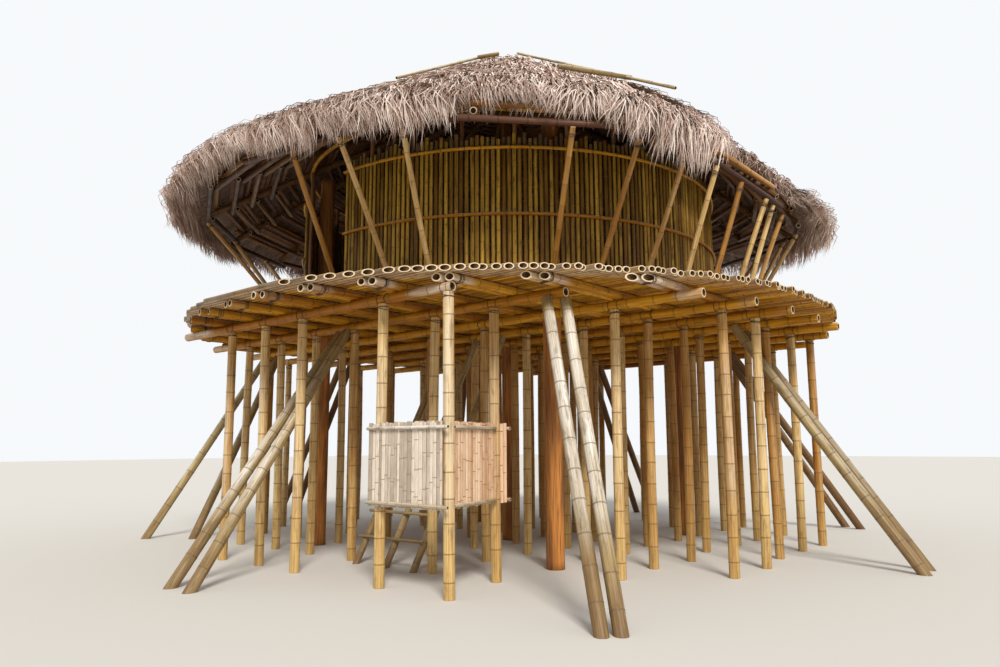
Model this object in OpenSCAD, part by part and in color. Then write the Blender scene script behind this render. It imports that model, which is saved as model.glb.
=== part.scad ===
// A round bamboo house on a round platform, carried by a forest of bamboo stilts.
// X runs along the floor beams, Y across them, Z up. The origin is the foot of the centre column.

/* [Platform] */
// Height of the stilts' heads, where the floor beams rest
stilt_head_z = 3270; // [2200:10:4000]
// Radius of the round platform at the ends of its canes
deck_r = 5300; // [4800:10:5600]
// Diameter of a floor beam
beam_d = 120; // [90:1:140]
// Diameter of a joist
joist_d = 100; // [80:1:130]
// Distance between two pairs of joists
joist_pitch = 800; // [600:10:1200]
// Distance between the two joists of a pair, axis to axis
joist_pair = 125; // [125:1:200]
// Diameter of a platform cane
cane_d = 80; // [60:1:80]
// Distance from one platform cane to the next
cane_pitch = 84; // [82:1:120]
// Most that a cane's cut end stands out or falls short
cane_ragged = 60; // [0:5:120]

/* [Stilts] */
// Diameter of a stilt
stilt_d = 125; // [90:1:140]
// Most that a stilt's foot stands off the plumb line
stilt_drift = 35; // [0:5:60]
// Diameter of a raking strut
strut_d = 135; // [100:1:160]
// Distance from a strut's foot in to its head, on plan
strut_run = 2250; // [1800:10:2600]
// Distance between the two struts of a pair
strut_pair = 430; // [300:10:600]

/* [Round house] */
// Radius of the wall, to the axis of its canes
wall_r = 3520; // [3000:10:3600]
// Diameter of a wall cane
wall_cane_d = 62; // [40:1:66]
// Number of wall canes in a full turn
wall_canes = 308; // [240:2:310]
// Height of the wall's canes
wall_h = 2250; // [1600:10:2400]
// Most that a wall cane falls short of the wall's height
wall_ragged = 120; // [0:5:200]
// Width of the doorway, as an angle of the wall
door_deg = 28; // [20:1:40]
// Middle of the doorway, as an angle from X
door_mid = 254; // [240:1:260]
// Diameter of the bent rails outside the wall
rail_d = 46; // [30:1:60]
// Height of the lower rail above the platform
rail_low_h = 1090; // [600:10:1200]
// Height of the upper rail above the platform
rail_high_h = 2020; // [1500:10:2100]
// Diameter of a stud of the wall
stud_d = 60; // [50:1:70]
// Height of the top plate's axis above the platform
plate_h = 2600; // [2500:10:3000]
// Diameter of the bent pole of the top plate
plate_d = 64; // [50:1:80]
// Diameter of a timber column
column_d = 250; // [180:5:280]
// Clearance from the four outer columns out to the wall's canes
column_gap = 164; // [100:2:500]
// Direction of the first outer column
column_az = -39; // [-45:1:-35]

/* [Roof] */
// Slope of the rafters
roof_pitch = 27; // [24:0.5:30]
// How much steeper the rafters hang outside the wall where the eave has sunk
roof_droop = 15; // [0:1:18]
// Direction in which the eave has sunk most
droop_mid = 8; // [-10:1:30]
// Angle from there to where the eave is straight again
droop_half = 55; // [40:1:70]
// Number of rafters
rafter_count = 20; // [16:2:24]
// Diameter of a rafter
rafter_d = 90; // [70:1:100]
// Distance of a rafter's lower end from the centre
rafter_r = 5120; // [4800:10:5300]
// Diameter of a purlin
purlin_d = 76; // [60:1:90]
// Slope of the thatch's outer surface
thatch_pitch = 31; // [30:0.5:34]
// Thickness of the thatch over the wall
thatch_t = 450; // [350:10:550]
// How far the thatch reaches out beyond the rafters
eave_over = 420; // [300:10:500]
// How far the thatch hangs down at the eave
eave_drop = 110; // [60:10:200]
// How far the thatch hangs down on its shaggy side
shaggy_drop = 280; // [150:10:500]
// How far the torn thatch ends short of the rafters' ends
torn_back = 900; // [500:10:1100]
// How far the thatch is worn back in the middle of the front
front_worn = 430; // [0:10:500]
// Distance of the props' feet from the wall's rail
prop_foot_gap = 40; // [20:5:100]
// How much further out the props stand under the sunk eave
prop_step = 640; // [300:10:900]
// Diameter of an eave prop
prop_d = 70; // [50:1:80]

/* [Screens and ladder] */
// Height of the screens' lower edge
screen_z = 910; // [600:10:1200]
// Height of a screen
screen_h = 960; // [700:10:1200]
// Thickness of a screen of flattened bamboo
screen_t = 30; // [20:1:40]
// Diameter of a screen's pole
screen_pole_d = 60; // [45:1:70]
// Diameter of a ladder pole
ladder_d = 95; // [70:1:110]
// Slope of the ladder
ladder_slope = 61; // [55:1:70]
// Distance between the ladder's outer poles
ladder_w = 1150; // [600:10:1300]
// Distance of the ladder from the screens' corner
ladder_gap = 240; // [100:10:300]

/* [Hidden] */
$fn = 32;

// Depth of the seat where one round pole rests in another
seat = 4;
// Gap round a post that passes through the platform
post_gap = 8;
// Share of a culm's diameter that is hollow
hollow_share = 0.72;
// Depth of the hollow seen at a culm's cut end
hollow_depth = 90;
// How far the joists end short of the rim
joist_short = 80;
// Most that a cut along the rim slants, across over along
steepest_slant = 1.8;
// How far pieces are cut beyond the faces they open
over = 5;

beam_z = stilt_head_z + beam_d / 2;
joist_z = beam_z + beam_d / 2 + joist_d / 2 - seat;
cane_z = joist_z + joist_d / 2 + cane_d / 2 - seat;
deck_z = cane_z + cane_d / 2;
plate_z = deck_z + plate_h;

// The runs of stilts: row, place across, first place along, spacing, number, with the lengths in platform radii
stilt_runs = [
    [1, -0.819, -0.321, 0.168, 3], [1, -0.819, 0.326, 0.206, 2],
    [2, -0.611, -0.577, 0.179, 4], [2, -0.611, 0.279, 0.1955, 2],
    [3, -0.402, -0.785, 0.208, 8],
    [4, -0.223, -0.943, 0.2, 10],
    [5, -0.051, -0.932, 0.2, 10],
    [6, 0.128, -0.943, 0.196, 10],
    [7, 0.306, -0.939, 0.196, 10],
    [8, 0.464, -0.758, 0.198, 9],
    [9, 0.651, -0.577, 0.202, 7],
    [10, 0.817, -0.379, 0.202, 5]
];
corner_run = stilt_runs[1];
inner_run = stilt_runs[3];
// How far each beam's right-hand end falls short of the rim
beam_short = [160, 580, 80, 160, 180, 130, -50, 20, -40, 30];
// The struts' pairs: number of the beam they hold, place of the heads along it in platform radii, direction of
// the feet, run as a share, gap of the feet as a share, and 1 where the heads hold the beam from both sides
strut_pairs_front = [[2, -0.09, -89, 1.15, 1, 0], [2, 0.655, -42.4, 0.87, 0.4, 0], [6, 0.742, 6.2, 1.01, 1, 1]];
strut_pairs_back = [[9, 0.478, 54, 1.09, 1, 0], [9, -0.094, 98, 1.11, 1, 0], [8, -0.613, 141, 1.033, 1, 0],
    [5, -0.802, 182.5, 0.915, 1, 1]];
// Two struts that lean on their own: beam, place of the head, direction of the foot and its distance, in radii
lone_struts = [[3, -0.822, -142.3, 1.21], [3, -0.7415, -142.4, 1.05]];

deck_strips = 4;
cane_count = 2 * floor((deck_r - cane_d / 2) / cane_pitch) + 1;
joist_pairs = 2 * floor((deck_r - 600) / joist_pitch + 0.5);
wall_segments = 6;
column_r = wall_r - (wall_cane_d + column_d) / 2 - column_gap;
column_places = [for (k = [0 : 3]) [column_r * cos(column_az + 90 * k), column_r * sin(column_az + 90 * k)]];

stud_r = wall_r - wall_cane_d / 2 - stud_d / 2 + seat;
rail_r = wall_r + wall_cane_d / 2 + rail_d / 2 - seat;
slope = tan(roof_pitch);

// Height of the rafters' axis at a distance from the centre
function rafter_z(r) = plate_z + plate_d / 2 + rafter_d / 2 / cos(roof_pitch) - seat + (stud_r - r) * slope;
// Square height over the rafters' axis of the poles' axes on them, and of the thatch's underside
purlin_up = (rafter_d + purlin_d) / 2 - seat;
thatch_up = purlin_up + purlin_d / 2 - seat;
// The thatch grows thicker up the roof
function thatch_thick(r) = thatch_t + (stud_r - r) * (tan(thatch_pitch) - slope);

// How much an angle differs from another, from -180 to 180
function turned(a) = a - 360 * floor((a + 180) / 360);
// How much steeper the rafters outside the wall hang in a direction
function droop(a) =
    let (x = abs(turned(a - droop_mid)) / droop_half)
    x < 1 ? roof_droop * (cos(180 * x) + 1) / 2 : 0;
// A point of the roof: its distance from the centre before the eave sank, its direction, how far it
// is square above the rafters' axis, and how far plumb above that
function roof_point(r, a, up = 0, rise = 0) =
    let (
        out = max(r - stud_r, 0) / cos(roof_pitch),
        pitch = roof_pitch + (out > 0 ? droop(a) : 0)
    )
    on_plan(min(r, stud_r) + out * cos(pitch), a,
            rafter_z(min(r, stud_r)) - out * sin(pitch) + up / cos(pitch) + rise);
// A repeatable spread about zero
function spread(most, count, seed) = most == 0 ? [for (i = [1 : count]) 0] : rands(-most, most, count, seed);
function on_plan(r, a, z) = [r * cos(a), r * sin(a), z];
// Place of a stilt of a run
function stilt_at(run, i) = deck_r * [run[2] + i * run[3], run[1]];

// A culm stands along Z from its foot, with the hollow of the bamboo seen at its open ends
module culm(d, h, low_open = false, high_open = false) {
    difference() {
        cylinder(d = d, h = h);
        if (low_open)
            translate([0, 0, -over]) cylinder(d = d * hollow_share, h = hollow_depth + over);
        if (high_open)
            translate([0, 0, h - hollow_depth]) cylinder(d = d * hollow_share, h = hollow_depth + over);
    }
}

// A culm laid from one point to another
module pole(a, b, d, low_open = true, high_open = true) {
    v = b - a;
    run = norm([v.x, v.y]);
    translate(a)
        rotate([0, atan2(run, v.z), atan2(v.y, v.x)])
            culm(d, norm(v), low_open, high_open);
}

// The stilts of one row, under their beam
module stilts_row(row) {
    color("darkkhaki")
        for (run = [for (r = stilt_runs) if (r[0] == row) r])
            for (i = [0 : run[4] - 1])
                if (min([for (p = column_places) norm(stilt_at(run, i) - p)]) > column_d / 2 + stilt_d)
                    stilt(stilt_at(run, i), 100 * row + i);
}

// A stilt leans a little from its foot to the beam, and both its ends are cut square
module stilt(place, seed) {
    drift = spread(stilt_drift, 2, seed);
    low_edge = stilt_d / 2 * norm(drift) / stilt_head_z;
    pole([place.x + drift[0], place.y + drift[1], low_edge],
         [place.x, place.y, stilt_head_z + seat], stilt_d, false, false);
}

// The ground under a foot, to cut it level
module underground(w, depth) {
    translate([-w / 2, -w / 2, -depth]) cube([w, w, depth]);
}

// The centre column rises to the crown, where the main rafters meet
module centre_column() {
    color("sienna") cylinder(d = column_d, h = rafter_z(crown_r));
}

module outer_columns() {
    color("sienna")
        for (p = column_places)
            translate([p.x, p.y, 0])
                cylinder(d = column_d, h = plate_z + plate_d / 2);
}

// A strut leans from the ground in to a floor beam, and its head is notched where it meets the beam
module strut(foot, head) {
    sunk = 0.05 * (foot - head);
    difference() {
        pole(foot + sunk, head, strut_d, false, true);
        translate(foot) underground(4 * strut_d, strut_d - sunk.z);
        translate([head.x - 3 * strut_d, beam_row(head.y), beam_z])
            rotate([0, 90, 0]) cylinder(d = beam_d - 2 * seat, h = 6 * strut_d);
    }
}

// A pair of struts, nearer to each other at their heads
module strut_pair_at(pair) {
    y = beam_rows[pair[0] - 1];
    x = pair[1] * deck_r;
    head_r = norm([x, y]);
    head_turn = atan2(y, x);
    pinch = 0.5;
    beside = (beam_d + strut_d) / 2 - seat;
    for (side = [-1, 1])
        strut(on_plan(head_r + pair[3] * strut_run, pair[2], 0)
                  + side * pair[4] * strut_pair / 2 * [-sin(pair[2]), cos(pair[2]), 0],
              pair[5] == 1 ? [x, y + sign(cos(pair[2])) * side * beside, beam_z]
                  : on_plan(head_r, head_turn, stilt_head_z)
                      + side * pinch * strut_pair / 2 * [-sin(head_turn), cos(head_turn), 0]);
}

module front_struts() {
    color("tan") {
        for (pair = strut_pairs_front) strut_pair_at(pair);
        for (one = lone_struts)
            strut(on_plan(one[3] * deck_r, one[2], 0), [one[1] * deck_r, beam_rows[one[0] - 1], stilt_head_z]);
    }
}

module back_struts() {
    color("tan") for (pair = strut_pairs_back) strut_pair_at(pair);
}

// Half the length of a floor pole at a distance across from the centre
function half_chord(y) = sqrt(max(deck_r * deck_r - y * y, 1));

// Places across of the floor beams, one over each row of stilts, and the one nearest to a place
beam_rows = [for (i = [0 : len(stilt_runs) - 1])
    if (i == 0 || stilt_runs[i][0] != stilt_runs[i - 1][0]) deck_r * stilt_runs[i][1]];
function beam_row(y) = [for (row = beam_rows) if (abs(row - y) == min([for (b = beam_rows) abs(b - y)])) row][0];

module floor_beams() {
    ragged = spread(cane_ragged, len(beam_rows), 7);
    color("goldenrod")
        for (i = [0 : len(beam_rows) - 1])
            pole([-half_chord(beam_rows[i]) + ragged[i], beam_rows[i], beam_z],
                 [half_chord(beam_rows[i]) - beam_short[i], beam_rows[i], beam_z], beam_d);
}

// A pole along X whose open ends are sawn off along the platform's rim
module sawn_pole(y, from, to, z, d) {
    slant = max(min(y / half_chord(y), steepest_slant), -steepest_slant);
    deep = hollow_depth + abs(slant) * d / 2;
    difference() {
        intersection() {
            pole([from - abs(slant) * d, y, z], [to + abs(slant) * d, y, z], d, false, false);
            translate([0, y, z - d])
                linear_extrude(2 * d)
                    polygon([[from - slant * d, -d], [to + slant * d, -d], [to - slant * d, d], [from + slant * d, d]]);
        }
        for (x = [from - deep, to - deep])
            translate([x, y, z]) rotate([0, 90, 0]) cylinder(d = d * hollow_share, h = 2 * deep);
    }
}

module floor_joists() {
    ragged = spread(cane_ragged, 4 * joist_pairs, 11);
    color("goldenrod")
        for (i = [0 : joist_pairs - 1], side = [0, 1]) {
            x = (i - (joist_pairs - 1) / 2) * joist_pitch + (side - 0.5) * joist_pair;
            rotate([0, 0, -90])
                sawn_pole(x, -half_chord(x) + joist_short + ragged[4 * i + side],
                          half_chord(x) - joist_short + ragged[4 * i + 2 + side], joist_z, joist_d);
        }
}

// One strip of the platform's canes, cut out round the columns
module deck(strip) {
    per_strip = ceil(cane_count / deck_strips);
    first = (strip - 1) * per_strip;
    last = min(strip * per_strip, cane_count) - 1;
    ragged = spread(cane_ragged, 2 * cane_count, 23);
    color("burlywood")
        difference() {
            for (i = [first : last]) {
                y = (i - (cane_count - 1) / 2) * cane_pitch;
                sawn_pole(y, -half_chord(y) + ragged[2 * i], half_chord(y) + ragged[2 * i + 1], cane_z, cane_d);
            }
            for (p = concat(column_places, [[0, 0]]))
                if (p.y > (first - (cane_count - 1) / 2) * cane_pitch - column_d
                    && p.y < (last - (cane_count - 1) / 2) * cane_pitch + column_d)
                    translate([p.x, p.y, cane_z - cane_d])
                        cylinder(d = column_d + 2 * post_gap, h = 2 * cane_d);
        }
}

// One segment of the round wall, standing on the platform
module wall(segment) {
    turn = 360 / wall_canes;
    built = floor((360 - door_deg) / turn);
    per_segment = ceil(built / wall_segments);
    ragged = rands(0, max(wall_ragged, 1), wall_canes, 31);
    color("peru")
        for (i = [(segment - 1) * per_segment : min(segment * per_segment, built) - 1])
            rotate([0, 0, door_mid + door_deg / 2 + (i + 0.5) * turn])
                translate([wall_r, 0, deck_z - seat])
                    cylinder(d = wall_cane_d, h = wall_h + seat - ragged[i]);
}

// The studs stand inside the wall and carry the top plate
module wall_studs() {
    studs = 30;
    color("saddlebrown")
        for (i = [0 : studs - 1])
            if (abs(i * 360 / studs - door_mid) > door_deg / 2 - 3 && stud_clear(i * 360 / studs))
                rotate([0, 0, i * 360 / studs])
                    translate([stud_r, 0, deck_z - seat]) cylinder(d = stud_d, h = plate_z - plate_d / 2 - deck_z + 2 * seat);
}

// True where no column stands behind the wall
function stud_clear(a) = min([for (p = column_places)
    norm(p - [stud_r * cos(a), stud_r * sin(a)])]) > (column_d + stud_d) / 2 + 10;

// A bent pole round the house, from one angle over another
module bent_pole(r, z, d, from, sweep) {
    rotate([0, 0, from]) translate([0, 0, z])
        rotate_extrude(angle = sweep, $fn = 180) translate([r, 0]) circle(d = d, $fn = 16);
}

module wall_rails() {
    color("goldenrod")
        for (h = [rail_low_h, rail_high_h])
            bent_pole(rail_r, deck_z + h, rail_d, door_mid + door_deg / 2, 360 - door_deg);
}

module top_plate() {
    color("saddlebrown") bent_pole(stud_r, plate_z, plate_d, 0, 360);
}

// The props on the seen side: direction of the foot, how far it stands out, direction of the head
props_seen = [
    [-89, 0, -82], [-74, 0, -73], [-65, 0, -64], [-41, 0, -41], [-32, 0, -31], [-24, 0.5, -23],
    [-18, 1, -18], [-11, 1, -11], [-3, 1, -3], [2, 1, 2], [8, 0.9, 9]
];
// The others stand at even turns, and none in the doorway
props_hidden = [for (a = [24 : 15 : 234]) [a, a < 40 ? 0.5 : 0, a]];
prop_foot_r = rail_r + (rail_d + prop_d) / 2 + prop_foot_gap;
prop_head_r = rafter_r - purlin_d;

// The props lean out from near the foot of the wall to the eave beam
module eave_props() {
    color("goldenrod")
        for (prop = concat(props_seen, props_hidden))
            pole(on_plan(prop_foot_r + prop[1] * prop_step, prop[0], deck_z - seat),
                 on_ring(prop_head_r, prop[2], -purlin_up) - [0, 0, prop_d / 2], prop_d, false, false);
}

// Every second rafter runs up to the crown, and the others end below it. Where the eave has sunk,
// a second pole hangs from the top plate beside each rafter, in place of its outer end
splice = 150;
module rafters() {
    color("saddlebrown")
        for (i = [0 : rafter_count - 1]) {
            a = i * rafter_turn;
            top = roof_point(i % 2 == 0 ? crown_r - crown_d / 5 : jack_r, a);
            bearing = roof_point(stud_r, a);
            low = roof_point(rafter_r, a);
            if (droop(a) > 0) {
                beside = (rafter_d + 2) * [-sin(a), cos(a), 0];
                pole(top, bearing + splice * (bearing - top) / norm(bearing - top), rafter_d, false, true);
                pole(bearing - splice * (low - bearing) / norm(low - bearing) + beside, low + beside, rafter_d);
            } else {
                pole(top, low, rafter_d, false, true);
            }
        }
}

// A ring round the centre column, on which the main rafters rest
crown_d = 100;
crown_r = column_d / 2 + crown_d / 2 - seat;
jack_r = 1000;
module crown_ring() {
    color("saddlebrown")
        bent_pole(crown_r, rafter_z(crown_r) - ((rafter_d + crown_d) / 2 - seat) / cos(roof_pitch),
                  crown_d, 0, 360);
}

// The corner of a ring of poles over a rafter: the poles lie by turns a little further out, to pass
rafter_turn = 360 / rafter_count;
function ring_corner(r, i, outer, up) = roof_point(r + outer * (purlin_d + 2), i * rafter_turn, up);

// The point of such a ring in any direction
function on_ring(r, a, up) =
    let (
        i = floor(turned(a) / rafter_turn),
        outer = abs(i) % 2,
        p = ring_corner(r, i, outer, up),
        q = ring_corner(r, i + 1, outer, up),
        ray = [cos(a), sin(a)]
    )
    p + (q - p) * cross([p.x, p.y], ray) / cross([p.x - q.x, p.y - q.y], ray);

// Straight poles from rafter to rafter, the outer ones with both ends standing out
module pole_ring(r, up, overhang) {
    for (i = [0 : rafter_count - 1]) {
        outer = i % 2;
        a = ring_corner(r, i, outer, up);
        b = ring_corner(r, i + 1, outer, up);
        reach = outer * overhang * (b - a) / norm(b - a);
        pole(a - reach, b + reach, purlin_d);
    }
}

// The beam on the heads of the props, under the rafters' ends
module eave_beam() {
    color("goldenrod") pole_ring(prop_head_r, -purlin_up, 180);
}

// The poles tied under the rafters between the eave and the wall
module under_purlins() {
    color("goldenrod")
        for (share = [0.79, 0.85, 0.91]) pole_ring(share * rafter_r, -purlin_up, 150);
}

// The poles on the rafters, which carry the thatch
module purlins() {
    color("goldenrod")
        for (share = [0.25, 0.43, 0.6, 0.76, 0.87, 0.965]) pole_ring(share * rafter_r, purlin_up, 160);
}

// The thatch's sectors: first direction, sweep, how far it reaches beyond the rafters and hangs down
thatch_sectors = [
    [8, 60, eave_over, shaggy_drop], [68, 66, eave_over, eave_drop], [134, 68, eave_over, eave_drop],
    [202, 68, eave_over, eave_drop], [270, 68, eave_over, eave_drop], [338, 30, -torn_back, eave_drop / 2]
];
// The middle of the worn stretch of the front's eave, and the angle to its two ends
worn_mid = 312;
worn_half = 16;
// How much of the wear is found in a direction
function worn(a) = min(max(2 - 2 * abs(turned(a - worn_mid)) / worn_half, 0), 1);

// Where the cone's slope ends at the blunt crown, and how far the crown rises above that
crown_flat_r = 420;
crown_rise = 30;
// How far in from its edge the thatch rounds over
roll_in = 130;

// The outline of the thatch in one direction, from the wall out under the eave and back to the crown
function thatch_outline(low_r, drop, a) =
    let (
        kink_r = min(stud_r, low_r - 6 * roll_in),
        shoulder_r = low_r - 5 * roll_in
    )
    [
        roof_point(kink_r, a, thatch_up),
        roof_point(low_r - 2 * roll_in, a, thatch_up),
        roof_point(low_r - roll_in, a, thatch_up, -drop * 0.9),
        roof_point(low_r, a, thatch_up, -drop),
        roof_point(low_r + crown_rise, a, thatch_up, thatch_thick(low_r) * 0.3),
        roof_point(low_r - roll_in, a, thatch_up, thatch_thick(low_r - roll_in) * 0.85),
        roof_point(shoulder_r, a, thatch_up, thatch_thick(shoulder_r)),
        roof_point(kink_r, a, thatch_up, thatch_thick(kink_r)),
        roof_point(crown_flat_r, a, thatch_up, thatch_thick(crown_flat_r))
    ];

// One sector of the thatch, swept round the axis through outlines that follow the sunk and worn eave
module thatch(sector) {
    place = thatch_sectors[sector - 1];
    steps = ceil(place[1] / 4);
    outlines = [for (i = [0 : steps])
        let (a = place[0] + place[1] * i / steps)
        thatch_outline(rafter_r + place[2] - worn(a) * front_worn, place[3], a)];
    n = len(outlines[0]);
    axis_low = n * (steps + 1);
    axis_high = axis_low + 1;
    points = concat(
        [for (outline = outlines) for (point = outline) point],
        [roof_point(0, 0, thatch_up), roof_point(crown_flat_r, 0, thatch_up, thatch_thick(crown_flat_r) + crown_rise)
            - on_plan(crown_flat_r, 0, 0)]);
    skin = [for (i = [0 : steps - 1], k = [0 : n - 2]) each [
        [i * n + k, i * n + k + 1, (i + 1) * n + k],
        [i * n + k + 1, (i + 1) * n + k + 1, (i + 1) * n + k]]];
    middle = [for (i = [0 : steps - 1]) each [
        [axis_low, i * n, (i + 1) * n],
        [axis_high, (i + 1) * n + n - 1, i * n + n - 1]]];
    ends = [
        concat([axis_high], [for (k = [n - 1 : -1 : 0]) k], [axis_low]),
        concat([axis_low], [for (k = [0 : n - 1]) steps * n + k], [axis_high])];
    color("rosybrown") polyhedron(points, concat(skin, middle, ends));
}

// A place on the thatch, some way plumb above its surface
function on_thatch(r, a, above) = roof_point(r, a, thatch_up, thatch_thick(r) + above);

// Thin culms laid down the slope: direction, and the share of the rafters' reach where each ends
batten_d = 45;
module roof_battens() {
    top_r = crown_flat_r + batten_d;
    bearing_r = stud_r - batten_d;
    color("tan")
        for (batten = [[-78, 0.66], [-24, 0.95], [60, 0.66], [150, 0.8]]) {
            top = on_thatch(top_r, batten[0], batten_d * 0.55);
            bearing = on_thatch(bearing_r, batten[0], batten_d * 0.55);
            pole(top, top + (bearing - top) * (batten[1] * rafter_r - top_r) / (bearing_r - top_r), batten_d);
        }
}

// Loose culms on the thatch: direction of the middle, distance from the centre in rafter reaches, length
module roof_poles() {
    color("burlywood")
        for (loose = [[-96, 0.25, 420], [-66, 0.22, 380], [-31, 0.74, 1100]]) {
            middle = on_thatch(loose[1] * rafter_r, loose[0], prop_d * 0.4);
            half = loose[2] / 2 * [-sin(loose[0]), cos(loose[0]), 0];
            pole(middle - half, middle + half, prop_d);
        }
}

// A screen of flattened bamboo from one place to another, with a pole along its top and bottom.
// The screen is set off to one side, and the poles stick out beyond its two ends
module screen(a, b, off, out_a, out_b) {
    v = b - a;
    run = norm(v);
    side = off < 0 ? -1 : 1;
    pole_off = off + side * (screen_t / 2 + screen_pole_d / 2 - seat);
    color("tan")
        translate([a.x, a.y, 0]) rotate([0, 0, atan2(v.y, v.x)]) {
            translate([0, off - screen_t / 2, screen_z]) cube([run, screen_t, screen_h]);
            for (z = [screen_z + screen_pole_d, screen_z + screen_h - screen_pole_d])
                pole([-out_a, pole_off, z], [run + out_b, pole_off, z], screen_pole_d);
        }
}

screen_off = stilt_d / 2 + screen_t / 2 - seat;
corner_a = stilt_at(corner_run, 0);
corner_b = stilt_at(corner_run, 1);
corner_c = stilt_at(inner_run, 1);
corner_d = stilt_at(inner_run, 0);
module screen_left() {
    screen(corner_a - [120, 0], corner_b, -screen_off, 5, 110);
}
module screen_right() {
    inset = (stilt_d / 2 + 5) * (corner_c - corner_b) / norm(corner_c - corner_b);
    screen(corner_b + inset, corner_c - inset, -screen_t / 2, 0, 0);
}
module screen_back() {
    screen(corner_d, corner_c + [125, 0], screen_off, 30, 30);
}

// Leaning poles with rungs under the platform
ladder_foot_y = corner_d.y - ladder_d - 35;
ladder_xs = [for (share = [1, 0.47, 0]) corner_d.x - ladder_gap - share * ladder_w];
rung_d = 42;
rung_count = 5;
rung_pitch = 330;
module ladder() {
    top_z = stilt_head_z - 60;
    sunk = 0.05;
    lean = [0, cos(ladder_slope), sin(ladder_slope)];
    above = [0, -sin(ladder_slope), cos(ladder_slope)] * ((ladder_d + rung_d) / 2 - seat);
    color("tan") {
        for (x = ladder_xs)
            difference() {
                pole([x, ladder_foot_y, 0] - sunk * top_z * lean,
                     [x, ladder_foot_y, 0] + top_z / lean.z * lean, ladder_d, false, true);
                translate([x, ladder_foot_y, 0]) underground(4 * ladder_d, sunk * top_z + ladder_d);
            }
        for (k = [1 : rung_count]) {
            at = [0, ladder_foot_y, 0] + k * rung_pitch / lean.z * lean + above;
            pole(at + [ladder_xs[0] - ladder_d, 0, 0], at + [ladder_xs[2] + ladder_d / 2, 0, 0], rung_d);
        }
    }
}

stilts_row(1);  // stilts_row_1
stilts_row(2);  // stilts_row_2
stilts_row(3);  // stilts_row_3
stilts_row(4);  // stilts_row_4
stilts_row(5);  // stilts_row_5
stilts_row(6);  // stilts_row_6
stilts_row(7);  // stilts_row_7
stilts_row(8);  // stilts_row_8
stilts_row(9);  // stilts_row_9
stilts_row(10);  // stilts_row_10
centre_column();
outer_columns();
front_struts();
back_struts();
floor_beams();
floor_joists();
deck(1);  // deck_1
deck(2);  // deck_2
deck(3);  // deck_3
deck(4);  // deck_4
wall(1);  // wall_1
wall(2);  // wall_2
wall(3);  // wall_3
wall(4);  // wall_4
wall(5);  // wall_5
wall(6);  // wall_6
wall_studs();
wall_rails();
top_plate();
eave_props();
crown_ring();
rafters();
eave_beam();
under_purlins();
purlins();
thatch(1);  // thatch_1
thatch(2);  // thatch_2
thatch(3);  // thatch_3
thatch(4);  // thatch_4
thatch(5);  // thatch_5
thatch(6);  // thatch_6
roof_battens();
roof_poles();
screen_left();
screen_right();
screen_back();
ladder();
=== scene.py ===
# A round bamboo house on stilts, under a roof of loose thatch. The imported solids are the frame:
# the axis and girth of each pole are read from them, and the real culm is grown round that axis.
import math

import bpy
import numpy as np
from mathutils import Matrix, Vector


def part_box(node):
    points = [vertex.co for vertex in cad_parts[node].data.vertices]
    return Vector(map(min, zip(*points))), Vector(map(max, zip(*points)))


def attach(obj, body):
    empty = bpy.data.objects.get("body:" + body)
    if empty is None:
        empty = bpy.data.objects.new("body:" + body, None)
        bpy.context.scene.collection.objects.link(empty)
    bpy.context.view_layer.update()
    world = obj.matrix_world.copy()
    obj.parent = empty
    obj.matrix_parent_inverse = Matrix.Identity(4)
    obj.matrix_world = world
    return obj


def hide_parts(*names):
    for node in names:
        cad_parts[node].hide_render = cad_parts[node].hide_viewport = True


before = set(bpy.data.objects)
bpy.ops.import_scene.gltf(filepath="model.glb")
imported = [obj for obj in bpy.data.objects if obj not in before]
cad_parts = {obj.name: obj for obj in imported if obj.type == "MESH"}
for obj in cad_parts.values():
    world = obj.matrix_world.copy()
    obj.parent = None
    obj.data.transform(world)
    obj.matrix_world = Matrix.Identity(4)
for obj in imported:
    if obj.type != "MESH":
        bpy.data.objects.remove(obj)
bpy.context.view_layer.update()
scene = bpy.context.scene


# The photograph's viewpoint, at eye height and 13 m from the middle of the house.
# Its lens and tilt were fitted to the feet and heads of the stilts.
eye_place, eye_turn, eye_tilt, eye_roll = (8.645, -10.178, 1.6), 41, 8.34, -0.297
eye = bpy.data.cameras.new("eye")
eye.lens = 27.35
eye.sensor_width = 36
viewer = bpy.data.objects.new("viewer", eye)
scene.collection.objects.link(viewer)
viewer.matrix_world = (Matrix.Translation(eye_place)
                       @ Matrix.Rotation(math.radians(eye_turn), 4, "Z")
                       @ Matrix.Rotation(math.radians(90 + eye_tilt), 4, "X")
                       @ Matrix.Rotation(math.radians(eye_roll), 4, "Z"))
scene.camera = viewer
scene.view_settings.view_transform = "Standard"


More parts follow.
